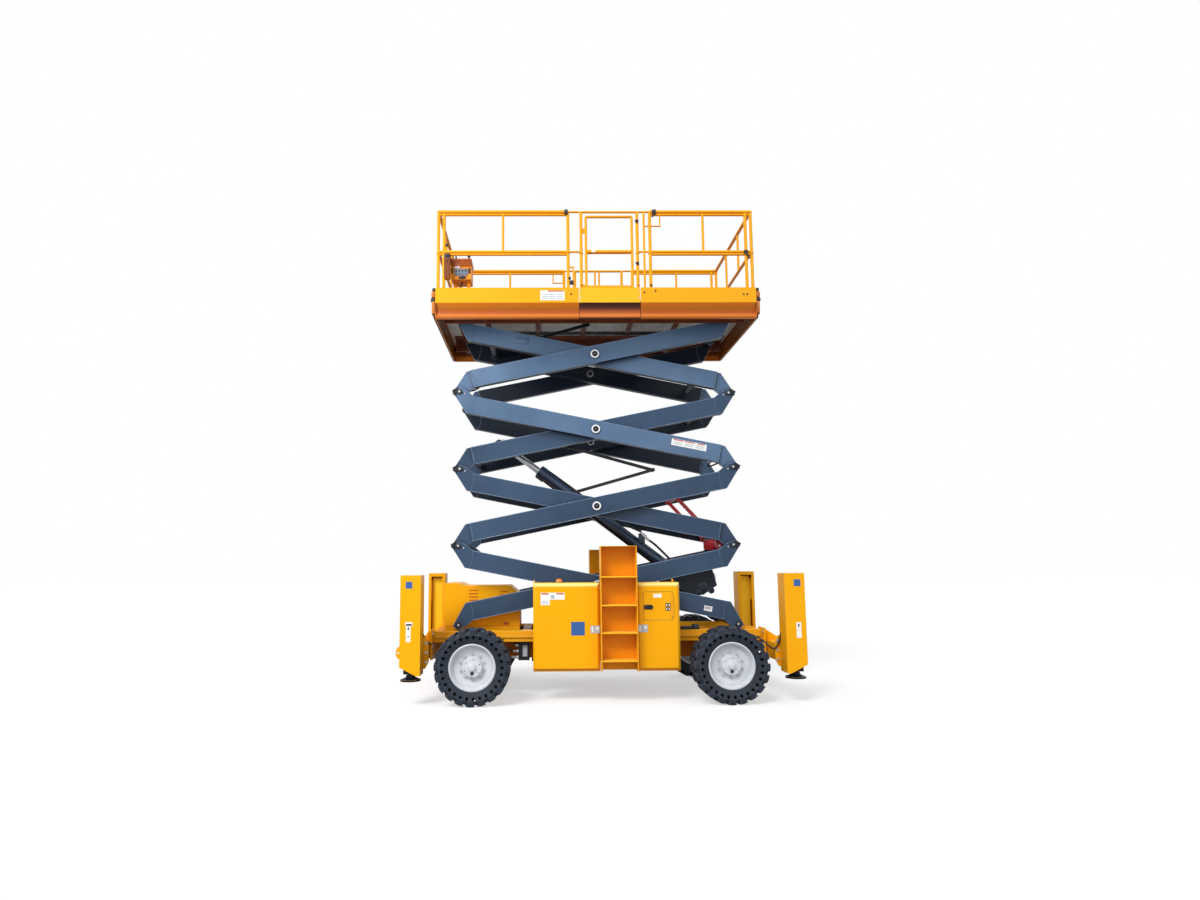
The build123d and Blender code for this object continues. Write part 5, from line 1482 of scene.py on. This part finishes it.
@dataclass
class CabinetDetails:
    """Blank labels, latch, ground controls, beacon cage and fixings of the cabinets, ladders and engine
    cover.

    Attributes:
        face: Distance of the cabinet's side from the middle.
    """

    face: float = 0.96

    def build(self) -> None:
        """Build the cabinets' fittings."""
        self.labels()
        self.door()
        self.ground_controls()
        self.bolts()
        self.ladder_trim()
        self.beacon_cage()
        self.cover_trim()

    def sheet(self, bm: Mesh, x0: float, x1: float, z0: float, z1: float,
              thick: float = 0.0006) -> None:
        """Lay a thin film on the near cabinets' side.

        Args:
            bm: The mesh to add to.
            x0: Its front edge.
            x1: Its rear edge.
            z0: Its bottom.
            z1: Its top.
            thick: How far it stands off the side.
        """
        y = -self.face
        add_block(bm, (x0, y - thick - 0.0001, z0), (x1, y + 0.0001, z1))

    def labels(self) -> None:
        """Blank films where the machine carries its notices."""
        white, red, grey, blue = (bmesh.new() for _ in range(4))
        self.sheet(white, -0.676, -0.405, 1.146, 1.224)
        self.sheet(white, -0.676, -0.573, 1.085, 1.1458)
        self.sheet(red, -0.668, -0.585, 1.203, 1.219, thick=0.001)
        self.sheet(red, -0.5, -0.412, 1.203, 1.219, thick=0.001)
        self.sheet(grey, -0.56, -0.52, 1.158, 1.198, thick=0.001)
        for k in range(3):
            self.sheet(grey, -0.664, -0.59, 1.096 + 0.016 * k, 1.103 + 0.016 * k, thick=0.001)
        for x0, x1, z0, z1 in ((-0.115, -0.012, 0.768, 0.853), (0.424, 0.533, 0.776, 0.861)):
            self.sheet(grey, x0, x1, z0, z1)
            self.sheet(white, x0 + 0.012, x0 + 0.03, z0 + 0.012, z1 - 0.012, thick=0.001)
            self.sheet(white, x1 - 0.04, x1 - 0.012, z0 + 0.04, z1 - 0.012, thick=0.001)
        self.sheet(blue, -0.334, -0.18, 0.745, 0.897)
        for name, bm, finish in (("white", white, LABEL_WHITE), ("red", red, LABEL_RED),
                                 ("grey", grey, LABEL_GREY), ("blue", blue, LABEL_BLUE)):
            mount(f"cabinet_labels_{name}", bm, finish, "chassis")

    def door(self) -> None:
        """Add the plate, latch and blank switch plates of the control door."""
        y = -0.9595
        white, black, panel = bmesh.new(), bmesh.new(), bmesh.new()
        add_block(white, (0.601, y - 0.0012, 1.162), (0.695, y + 0.0002, 1.205))
        add_block(black, (0.494, y - 0.01, 1.031), (0.575, y + 0.001, 1.081), 0.004)
        add_rod(black, (0.572, y + 0.001, 1.056), (0.572, y - 0.01, 1.056), 0.025, 32)
        add_block(panel, (0.512, y - 0.013, 1.043), (0.566, y - 0.008, 1.069), 0.002)
        for i in range(2):
            for k in range(2):
                x, z = 0.738 + 0.03 * i, 1.014 + 0.045 * k
                add_block(black, (x, y - 0.001, z), (x + 0.026, y + 0.0002, z + 0.04))
                add_block(white, (x + 0.007, y - 0.0016, z + 0.01), (x + 0.019, y - 0.0006, z + 0.03))
        mount("door_plate", white, LABEL_WHITE, "control_door")
        mount("door_latch", black, BLACK_PLASTIC, "control_door")
        mount("door_latch_grip", panel, BLACK_STEEL, "control_door")

    def ground_controls(self) -> None:
        """Add the panel, switches and stop button in the pocket behind the door."""
        back, keys, stop = bmesh.new(), bmesh.new(), bmesh.new()
        add_block(back, (0.505, -0.892, 0.93), (0.8, -0.869, 1.205), 0.004)
        for k in range(4):
            x = 0.545 + 0.07 * k
            add_rod(keys, (x, -0.89, 1.13), (x, -0.905, 1.13), 0.012, 20)
            add_rod(keys, (x, -0.904, 1.13), (x, -0.925, 1.145), 0.004, 10)
        add_block(keys, (0.53, -0.896, 1.02), (0.64, -0.89, 1.08), 0.003)
        add_turned(stop, ((0.0, 0.024), (0.012, 0.024), (0.018, 0.018), (0.018, 0.0)), (0.72, -0.891, 1.04),
                   (0, -1, 0), 32)
        mount("ground_panel", back, GREY_PLASTIC, "chassis")
        mount("ground_switches", keys, BLACK_PLASTIC, "chassis")
        mount("ground_stop", stop, SIGNAL_RED, "chassis")

    def bolts(self) -> None:
        """Add the button heads at the cabinets' corners and the folded lips below and above."""
        bm, lip = bmesh.new(), bmesh.new()
        for side in (-1, 1):
            for x0, x1 in ((-0.762, -0.008), (0.412, 0.9)):
                for x in (x0 + 0.05, x1 - 0.05):
                    for z in (0.41, 1.275):
                        seat = (x, side * (self.face - 0.0005), z)
                        add_turned(bm, ((0.0, 0.01), (0.003, 0.009), (0.005, 0.005), (0.0055, 0.0)), seat,
                                   (0, side, 0), 16)
                y = side * (self.face - 0.03)
                add_block(lip, (x0 + 0.004, y, 0.346), (x1 - 0.004, y - side * 0.24, 0.354), 0.002)
                add_block(lip, (x0 + 0.01, y, 1.3295), (x1 - 0.01, y - side * 0.21, 1.334), 0.0015)
        mount("cabinet_screws", bm, SIGNAL_YELLOW, "chassis")
        mount("cabinet_lips", lip, COVER_YELLOW, "chassis")

    def ladder_trim(self) -> None:
        """Add the ribbed treads, the bent step noses and the bent edges of both ladders."""
        ribs, noses = bmesh.new(), bmesh.new()
        for side in (-1, 1):
            nose = side * 1.0985
            for z in (0.48, 0.786, 1.089, 1.405):
                for k in range(7):
                    y = side * (0.93 + 0.024 * k)
                    add_rod(ribs, (0.008, y, z - 0.0005), (0.394, y, z - 0.0005), 0.0022, 6)
                add_rod(noses, (0.0, nose, z - 0.0085), (0.402, nose, z - 0.0085), 0.0086, 12)
            for x in (0.0, 0.402):
                add_rod(noses, (x, nose, 0.362), (x, nose, 1.742), 0.0048, 10)
        mount("ladder_treads", ribs, LADDER_ORANGE, "chassis")
        mount("ladder_noses", noses, SIGNAL_YELLOW, "chassis")

    def beacon_cage(self) -> None:
        """Ring, ribs and base of the beacon."""
        ring, ribs = bmesh.new(), bmesh.new()
        centre = (-0.464, -0.8, 1.33)
        add_turned(
            ring, ((-0.001, 0.052), (0.006, 0.052), (0.01, 0.048), (0.01, 0.04), (-0.001, 0.04),
            (-0.001, 0.052)), centre, UP, 40)
        for k in range(12):
            turn = math.tau * k / 12
            a = Vector(centre) + Vector((0.0405 * math.cos(turn), 0.0405 * math.sin(turn), 0.01))
            b = Vector(centre) + Vector((0.028 * math.cos(turn), 0.028 * math.sin(turn), 0.0395))
            add_rod(ribs, a, b, 0.0012, 5)
        mount("beacon_ring", ring, BLACK_PLASTIC, "chassis")
        mount("beacon_ribs", ribs, AMBER_LENS, "chassis")

    def cover_trim(self) -> None:
        """Add the screws, the latches and the seam of the engine cover."""
        bm, seam = bmesh.new(), bmesh.new()
        for side in (-1, 1):
            y = side * 0.33
            for x in (-1.8, -1.0):
                add_bolt(bm, (x, y, 0.785), (0, side, 0), 0.007)
            for x in (-1.62, -1.1):
                add_block(seam, (x - 0.03, y, 0.822), (x + 0.03, y + side * 0.008, 0.85), 0.003)
            add_block(seam, (-1.845, y, 0.806), (-0.94, y + side * 0.002, 0.81))
        mount("cover_screws", bm, COVER_YELLOW, "chassis")
        mount("cover_latches", seam, LID_BROWN, "chassis")


@dataclass
class OutriggerDetails:
    """Folded edges, cap screws, foot collars and blank labels of the outriggers.

    Attributes:
        face: Distance of the posts' outer faces from the middle.
        ends: End name, direction and outer face of each pair.
        width: Width of a post.
        leg_y: Distance of the legs from the middle.
    """

    face: float = 1.104
    ends: tuple[tuple[str, int, float], ...] = (("front", -1, 2.235), ("rear", 1, 2.28))
    width: float = 0.228
    leg_y: float = 1.0157

    def build(self) -> None:
        """Build the fittings of both outrigger frames and their legs."""
        for end, sx, outer in self.ends:
            edges, bolts = bmesh.new(), bmesh.new()
            for word, side in SIDES:
                self.post(edges, bolts, sx, side, outer)
                self.foot(end, word, sx, side, outer)
            mount(f"outrigger_edges_{end}", edges, SIGNAL_YELLOW, "chassis")
            mount(f"outrigger_bolts_{end}", bolts, ZINC, "chassis")
        self.labels()

    def post(self, edges: Mesh, bolts: Mesh, sx: int, side: int, outer: float) -> None:
        """Add the folded edges of a post's face and the screws of its top cap.

        Args:
            edges: The mesh of the folded edges.
            bolts: The mesh of the screws.
            sx: -1 at the front, 1 at the rear.
            side: -1 near, 1 far.
            outer: Distance of the post's end face from the middle.
        """
        xo, xi = sx * outer, sx * (outer - self.width)
        y = side * self.face
        fold = y - side * 0.006
        for x in (xo - sx * 0.0066, xi + sx * 0.0066):
            add_rod(edges, (x, fold, 0.46), (x, fold, 1.425), 0.0062, 12)
        add_rod(edges, (xi + sx * 0.004, fold, 1.424), (xo - sx * 0.004, fold, 1.424), 0.0064, 12)
        add_rod(edges, (xi + sx * 0.045, fold, 0.336), (xo - sx * 0.006, fold, 0.428), 0.0062, 12)
        for dx in (0.05, 0.178):
            add_bolt(bolts, (xi + sx * dx, side * (self.face - 0.12), 1.43), UP, 0.01)

    def foot(self, end: str, word: str, sx: int, side: int, outer: float) -> None:
        """Add the collar and the bolts on one foot disc.

        Args:
            end: "front" or "rear".
            word: "near" or "far".
            sx: -1 at the front, 1 at the rear.
            side: -1 near, 1 far.
            outer: Distance of the post's end face from the middle.
        """
        bm = bmesh.new()
        x, y = sx * (outer - self.width / 2), side * self.leg_y
        add_turned(bm, ((0.0, 0.05), (0.012, 0.05), (0.018, 0.042), (0.04, 0.04), (0.04, 0.033)),
                   (x, y, 0.318), UP, 36)
        for k in range(4):
            turn = math.tau * (k + 0.5) / 4
            seat = (x + 0.088 * math.cos(turn), y + 0.088 * math.sin(turn), 0.2885)
            add_bolt(bm, seat, UP, 0.009)
        mount(f"outrigger_foot_ring_{end}_{word}", bm, BLACK_STEEL, f"leg_{end}_{word}")

    def labels(self) -> None:
        """Blank notices on the near posts."""
        white, black, blue = bmesh.new(), bmesh.new(), bmesh.new()
        y0, y1 = -self.face - 0.0008, -self.face + 0.0002
        for x0, x1, z0, z1 in ((-2.173, -2.094, 0.872, 0.917), (-2.164, -2.113, 0.7, 0.871),
                               (2.167, 2.222, 0.802, 0.887), (2.167, 2.222, 0.716, 0.797)):
            add_block(white, (x0, y0, z0), (x1, y1, z1))
        for x0, x1, z0, z1 in ((-2.166, -2.1, 0.878, 0.897), (-2.146, -2.131, 0.83, 0.862),
                               (-2.148, -2.129, 0.756, 0.765), (2.187, 2.202, 0.835, 0.87)):
            add_block(black, (x0, y0 - 0.0006, z0), (x1, y0 + 0.0002, z1))
        for x0 in (-2.176, 2.158):
            add_block(blue, (x0, y0, 1.285), (x0 + 0.075, y1, 1.36))
        mount("outrigger_labels_white", white, LABEL_WHITE, "chassis")
        mount("outrigger_labels_black", black, BLACK_PLASTIC, "chassis")
        mount("outrigger_labels_blue", blue, LABEL_BLUE, "chassis")


@dataclass
class PlatformDetails:
    """Floors, end bumpers, clamps, latches, controls and labels of the platform.

    Attributes:
        side_y: Distance of the toe boards' faces from the middle.
        rail_y: Distance of the guard rails from the middle.
        slide_floor: Height of the slides' floor.
        middle_floor: Height of the middle deck.
        lock_z: Height of the gate's middle rail, which the sleeve goes round.
    """

    side_y: float = 0.93
    rail_y: float = 0.891
    slide_floor: float = 4.6754
    middle_floor: float = 4.667
    lock_z: float = 5.284

    def build(self) -> None:
        """Build the platform's fittings."""
        self.floors()
        self.bumpers()
        self.toe_board()
        self.rail_fittings()
        self.gate_fittings()
        self.rail_bridges()
        self.collars()
        self.controls()
        self.underside()

    def floors(self) -> None:
        """Chequered sheets on the slides and on the middle of the deck."""
        for name, body, low, high, z in (
                ("front", "extension_front", -1.9, -0.21, self.slide_floor),
                ("rear", "extension_rear", 0.537, 1.9, self.slide_floor),
                ("middle", "platform", -0.196, 0.523, self.middle_floor)):
            bm = bmesh.new()
            thick = 0.0003 if name == "middle" else 0.002
            add_block(bm, (low, -0.862, z - 0.0002), (high, 0.862, z + thick))
            mount(f"floor_sheet_{name}", bm, FLOOR_PLATE, body)
        strip = bmesh.new()
        for x in (-0.212, 0.539):
            add_rod(strip, (x, -0.86, 4.6775), (x, 0.86, 4.6775), 0.0035, 8)
        mount("floor_strip_front", strip, BLACK_STEEL, "extension_front")

    def bumpers(self) -> None:
        """Add the rolled end channels with their rubber strips, past each end of the platform."""
        for end, sx in (("front", -1), ("rear", 1)):
            steel, rubber = bmesh.new(), bmesh.new()
            base = sx * 1.913
            for z0, z1, out in ((4.7, 4.784, 0.052), (4.5, 4.664, 0.046)):
                add_block(steel, (base, -0.926, z0), (base + sx * out, 0.926, z1), 0.016, None, 4)
            for z0, z1, out in ((4.782, 4.826, 0.042), (4.66, 4.702, 0.058), (4.452, 4.502, 0.024)):
                add_block(rubber, (base, -0.922, z0), (base + sx * out, 0.922, z1), 0.01, None, 3)
            mount(f"end_channel_{end}", steel, END_CHANNEL_ORANGE, f"extension_{end}")
            mount(f"end_bumper_{end}", rubber, BLACK_PLASTIC, f"extension_{end}")

    def toe_board(self) -> None:
        """Blank films, rivets and seam covers on the near toe board."""
        white, red, grey, dark = (bmesh.new() for _ in range(4))
        y = -self.side_y
        add_block(white, (-0.666, y - 0.0008, 4.668), (-0.378, y + 0.0002, 4.79))
        add_block(red, (-0.578, y - 0.0016, 4.774), (-0.385, y - 0.0006, 4.788))
        for x in (-0.65, -0.56, -0.47):
            for z in (4.684, 4.71, 4.736):
                add_block(grey, (x, y - 0.0014, z), (x + 0.075, y - 0.0006, z + 0.012))
        mount("toe_label_white", white, LABEL_WHITE, "extension_front")
        mount("toe_label_red", red, LABEL_RED, "extension_front")
        mount("toe_label_grey", grey, LABEL_GREY, "extension_front")
        for body, spots in (("extension_front", ((-0.3, 4.742),)),
                            ("extension_rear", ((1.765, 4.739), (1.808, 4.739), (0.577, 4.764),
                                                (0.709, 4.783)))):
            bm = bmesh.new()
            for x, z in spots:
                add_rod(bm, (x, y + 0.001, z), (x, y - 0.004, z), 0.0105, 20)
            mount(f"toe_plugs_{body}", bm, BLACK_PLASTIC, body)
        for side in (-1, 1):
            for x in (-0.182, 0.507):
                add_bolt(dark, (x, side * self.side_y, 4.7), (0, side, 0), 0.008)
                add_bolt(dark, (x, side * self.side_y, 4.79), (0, side, 0), 0.008)
        mount("toe_board_bolts", dark, ZINC, "platform")

    def rail_fittings(self) -> None:
        """Add the clamps, latches, knobs and pins on the guard rails."""
        y = -self.rail_y
        front, rear, middle = bmesh.new(), bmesh.new(), bmesh.new()
        add_block(front, (-0.372, y - 0.032, 5.748), (-0.33, y + 0.032, 5.8115), 0.005)
        add_block(front, (-0.352, y - 0.04, 5.77), (-0.34, y - 0.028, 5.806), 0.003)
        add_turned(front, ((0.0, 0.01), (0.006, 0.016), (0.02, 0.019), (0.034, 0.014), (0.04, 0.0)),
                   (-1.786, y, 5.35), UP, 24)
        add_rod(front, (-0.285, y - 0.005, 4.9), (-0.31, y - 0.005, 4.9), 0.008, 12)
        add_block(front, (-0.312, y - 0.02, 4.87), (-0.268, y - 0.004, 4.925), 0.006)
        add_block(front, (-0.33, y - 0.026, 4.935), (-0.3, y - 0.004, 4.965), 0.004)
        add_block(rear, (0.69, y - 0.032, 5.748), (0.738, y + 0.032, 5.8105), 0.005)
        add_rod(rear, (0.714, y - 0.02, 5.755), (0.69, y - 0.025, 5.715), 0.008, 14)
        add_rod(rear, (1.81, y - 0.028, 5.27), (1.856, y - 0.034, 5.19), 0.013, 18, 0.009)
        add_block(rear, (1.79, y - 0.04, 5.258), (1.838, y - 0.018, 5.296), 0.005)
        add_rod(rear, (0.65, y - 0.02, 4.86), (0.676, y - 0.02, 4.86), 0.013, 14)
        for z in (5.664, 5.133):
            add_block(middle, (0.492, y - 0.027, z - 0.022), (0.522, y - 0.014, z + 0.022), 0.005)
            add_rod(middle, (0.5, y - 0.024, z), (0.474, y - 0.026, z + 0.004), 0.007, 12)
        for x in (-0.172, 0.508):
            add_rod(middle, (x, y - 0.021, 4.86), (x, y + 0.021, 4.86), 0.009, 10)
        mount("rail_clamps_front", front, BLACK_PLASTIC, "extension_front")
        mount("rail_clamps_rear", rear, BLACK_PLASTIC, "extension_rear")
        mount("gate_latches", middle, BLACK_STEEL, "platform")

    def gate_fittings(self) -> None:
        """Add the white tag and the sleeve on the gate's middle rail."""
        y = -self.rail_y
        grip, sleeve = bmesh.new(), bmesh.new()
        add_block(grip, (-0.048, y - 0.0262, 5.272), (-0.002, y - 0.0225, 5.296), 0.001)
        add_rod(sleeve, (-0.1, y, self.lock_z), (0.43, y, self.lock_z), 0.0245, 24)
        add_rod(sleeve, (-0.094, y, self.lock_z), (-0.06, y, self.lock_z), 0.0285, 24)
        mount("gate_tag", grip, RING_WHITE, "gate")
        mount("gate_rail_sleeve", sleeve, RAIL_YELLOW, "gate")

    def rail_bridges(self) -> None:
        """Add the thin tubes that carry the rails on from each slide to the middle section."""
        y = -self.rail_y
        for end, first, last in (("front", -0.345, -0.19), ("rear", 0.526, 0.677)):
            bridge = bmesh.new()
            for side in (-1, 1):
                for z in (5.79, 5.286):
                    add_rod(bridge, (first, side * self.rail_y, z), (last, side * self.rail_y, z), 0.0125, 18)
            if end == "rear":
                add_rod(bridge, (0.59, y, 4.822), (0.59, y, 5.79), 0.0135, 20)
            else:
                add_rod(bridge, (-0.268, y, 4.822), (-0.268, y, 5.1), 0.0095, 18)
                add_rod(bridge, (-0.268, y, 5.092), (-0.332, y, 5.092), 0.0095, 18)
            mount(f"rail_bridge_{end}", bridge, RAIL_YELLOW, f"extension_{end}")

    def collars(self) -> None:
        """Add the welded base collar and the cap of every post."""
        for body, xs, foot in (("extension_front", (-1.89, -1.822, -0.33), 4.8245),
                               ("extension_rear", (1.89, 1.822, 0.662), 4.8245),
                               ("platform", (-0.172, 0.508), 4.72)):
            bm = bmesh.new()
            for x in xs:
                for side in (-1, 1):
                    add_turned(bm, ((0.0, 0.0185), (0.0, 0.024), (0.004, 0.024), (0.009, 0.0195)),
                               (x, side * self.rail_y, foot), UP, 24)
                    add_turned(bm, ((0.0, 0.0), (0.0, 0.0255), (0.003, 0.026), (0.006, 0.0255),
                                    (0.006, 0.0)), (x, side * self.rail_y, 5.262), UP, 20)
            mount(f"post_collars_{body}", bm, RAIL_YELLOW, body)

    def controls(self) -> None:
        """Lid, panel, joystick and buttons of the upper control box, and its cable."""
        lid, panel, black, red, lamps = (bmesh.new() for _ in range(5))
        add_block(lid, (-1.757, -0.808, 5.168), (-1.498, -0.552, 5.243), 0.01, None, 3)
        add_block(lid, (-1.745, -0.82, 5.148), (-1.512, -0.8, 5.172), 0.005)
        add_block(panel, (-1.705, -0.808, 5.026), (-1.545, -0.798, 5.113), 0.004)
        add_block(panel, (-1.69, -0.77, 5.243), (-1.57, -0.6, 5.249), 0.003)
        bmesh.ops.create_uvsphere(black, u_segments=28, v_segments=12, radius=1.0, matrix=Matrix.Translation(
            (-1.612, -0.8, 5.003)) @ Matrix.Diagonal((0.052, 0.008, 0.02, 1.0)))
        add_rod(lamps, (-1.705, -0.8, 5.128), (-1.64, -0.8, 5.136), 0.013, 16)
        for x in (-1.735, -1.525):
            add_block(black, (x - 0.012, -0.806, 5.055), (x + 0.012, -0.797, 5.12), 0.003)
        for k in range(4):
            x = -1.685 + 0.038 * k
            add_rod(black, (x, -0.806, 5.088), (x, -0.82, 5.088), 0.009, 14)
            add_rod(black, (x, -0.806, 5.048), (x, -0.812, 5.048), 0.007, 14)
        add_turned(
            black, ((0.0, 0.032), (0.01, 0.03), (0.016, 0.018), (0.04, 0.009), (0.062, 0.009),
            (0.07, 0.018), (0.096, 0.019), (0.106, 0.013), (0.108, 0.0)), (-1.545, -0.68, 5.242),
            UP, 28)
        add_block(black, (-1.7, -0.79, 5.243), (-1.688, -0.57, 5.3), 0.004)
        add_turned(red, ((0.0, 0.02), (0.008, 0.02), (0.01, 0.026), (0.02, 0.025), (0.024, 0.018),
                         (0.024, 0.0)), (-1.64, -0.64, 5.247), UP, 28)
        for k in range(3):
            x = -1.665 + 0.03 * k
            add_rod(lamps, (x, -0.735, 5.247), (x, -0.735, 5.254), 0.008, 14)
        body = "extension_front"
        mount("control_lid", lid, LID_BROWN, body)
        mount("control_panel", panel, GREY_PLASTIC, body)
        mount("control_switches", black, BLACK_PLASTIC, body)
        mount("control_stop", red, SIGNAL_RED, body)
        mount("control_lamps", lamps, LABEL_WHITE, body)
        hose("control_cable", (((-1.62, -0.7, 4.985), (-1.64, -0.72, 4.9), (-1.72, -0.76, 4.84),
                                (-1.8, -0.8, 4.75), (-1.83, -0.82, 4.685)),), 0.009, HOSE_RUBBER, body)
        pouch = bmesh.new()
        add_block(pouch, (-1.8175, -0.9175, 5.205), (-1.7465, -0.8345, 5.258), 0.006)
        add_rod(pouch, (-1.782, -0.917, 5.16), (-1.782, -0.921, 5.16), 0.01, 16)
        mount("document_box_lid", pouch, BLACK_PLASTIC, body)

    def underside(self) -> None:
        """Add the deck's ribs, bolts, cable tray and cables seen from below."""
        ribs, zinc, dark = bmesh.new(), bmesh.new(), bmesh.new()
        for k in range(12):
            x = -1.75 + 0.3 * k
            for y0, y1 in ((-0.36, -0.02), (0.02, 0.36), (-0.835, -0.61), (0.61, 0.835)):
                add_block(ribs, (x, y0, 4.6465), (x + 0.012, y1, 4.6552), 0.002)
        for x in (-1.7, -1.35, -0.7, -0.1, 0.5, 1.1, 1.7):
            for y in (-0.7, 0.7):
                for dx in (-0.018, 0.018):
                    add_bolt(zinc, (x + dx, y, 4.53), (0, 0, -1), 0.009)
        add_block(dark, (-1.65, 0.205, 4.634), (1.55, 0.29, 4.646), 0.004)
        mount("deck_ribs", ribs, DECK_ZINC, "platform")
        mount("deck_bolts", zinc, ZINC, "platform")
        mount("cable_tray", dark, BLACK_STEEL, "platform")
        hose("deck_cables", (
            [(0.28, -0.3, 4.612), (0.42, -0.33, 4.626), (0.6, -0.34, 4.634), (0.8, -0.34, 4.636)],
            [(0.32, 0.24, 4.632), (0.7, 0.255, 4.63), (1.4, 0.24, 4.632)]), 0.01, HOSE_RUBBER,
             "platform")


@dataclass
class Finishes:
    """Which finish each CAD node has.

    Attributes:
        frame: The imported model.
    """

    frame: dict

    def dress(self, finish: Finish, *nodes: str) -> None:
        """Give CAD nodes a finish.

        Args:
            finish: Surface finish.
            nodes: Names of the nodes.
        """
        for name in nodes:
            piece = self.frame["nodes"][name]
            if not piece.data.materials:
                piece.data.materials.append(finish.build())
            for material_slot in piece.material_slots:
                material_slot.material = finish.build()

    def build(self) -> None:
        """Dress every CAD node."""
        dress = self.dress
        dress(SLATE_BLUE, "arm_1b", "arm_2a", "arm_2b", "arm_3a")
        dress(SLATE_LIT_UPPER, "arm_3b", "arm_4a", "arm_4b")
        dress(SLATE_CRADLE, "arm_1a")
        dress(CYLINDER_SLATE, "lift_barrel")
        dress(HARD_CHROME, "lift_rod")
        dress(CABINET_YELLOW, "cabinets", "control_door")
        dress(COVER_YELLOW, "outrigger_frame_front", "outrigger_frame_rear", "front_cover")
        dress(FRAME_ORANGE, "chassis_frame")
        dress(LADDER_ORANGE, "ladders")
        dress(UNDERFRAME_SHADE_BROWN, "platform_frame")
        dress(RAIL_YELLOW, "centre_rails", "gate")
        dress(EXTENSION_YELLOW, "extension_front", "extension_rear")
        dress(BLACK_STEEL, "axles", "knuckle_near", "knuckle_far", "battery_block", "hose_link_lower",
              "hose_link_upper", "hose_link_top")
        dress(LEG_STEEL, *(f"outrigger_leg_{end}_{side}" for end in ENDS for side, _ in SIDES))
        dress(DECK_ZINC, "platform_deck")
        dress(SIGNAL_RED, "safety_prop")
        dress(CONTROL_ORANGE, "control_box")
        dress(AMBER_LENS, "beacon")
        for end in ENDS:
            for side, _ in SIDES:
                dress(TYRE_RUBBER, f"tyre_{end}_{side}")
                dress(WHEEL_GREY, f"rim_{end}_{side}")


def main() -> None:
    """Build the dressed lift, in order."""
    logging.basicConfig(level=logging.INFO, format="%(message)s")
    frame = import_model()
    wheels = [WheelDetails(end, word, side) for end in ENDS for word, side in SIDES]
    for part in (Finishes(frame), StackDetails(), CylinderDetails(), *wheels, ChassisDetails(),
                 CabinetDetails(), OutriggerDetails(), PlatformDetails(), Studio()):
        part.build()
        log.info("built %s", type(part).__name__)


if __name__ == "__main__":
    main()
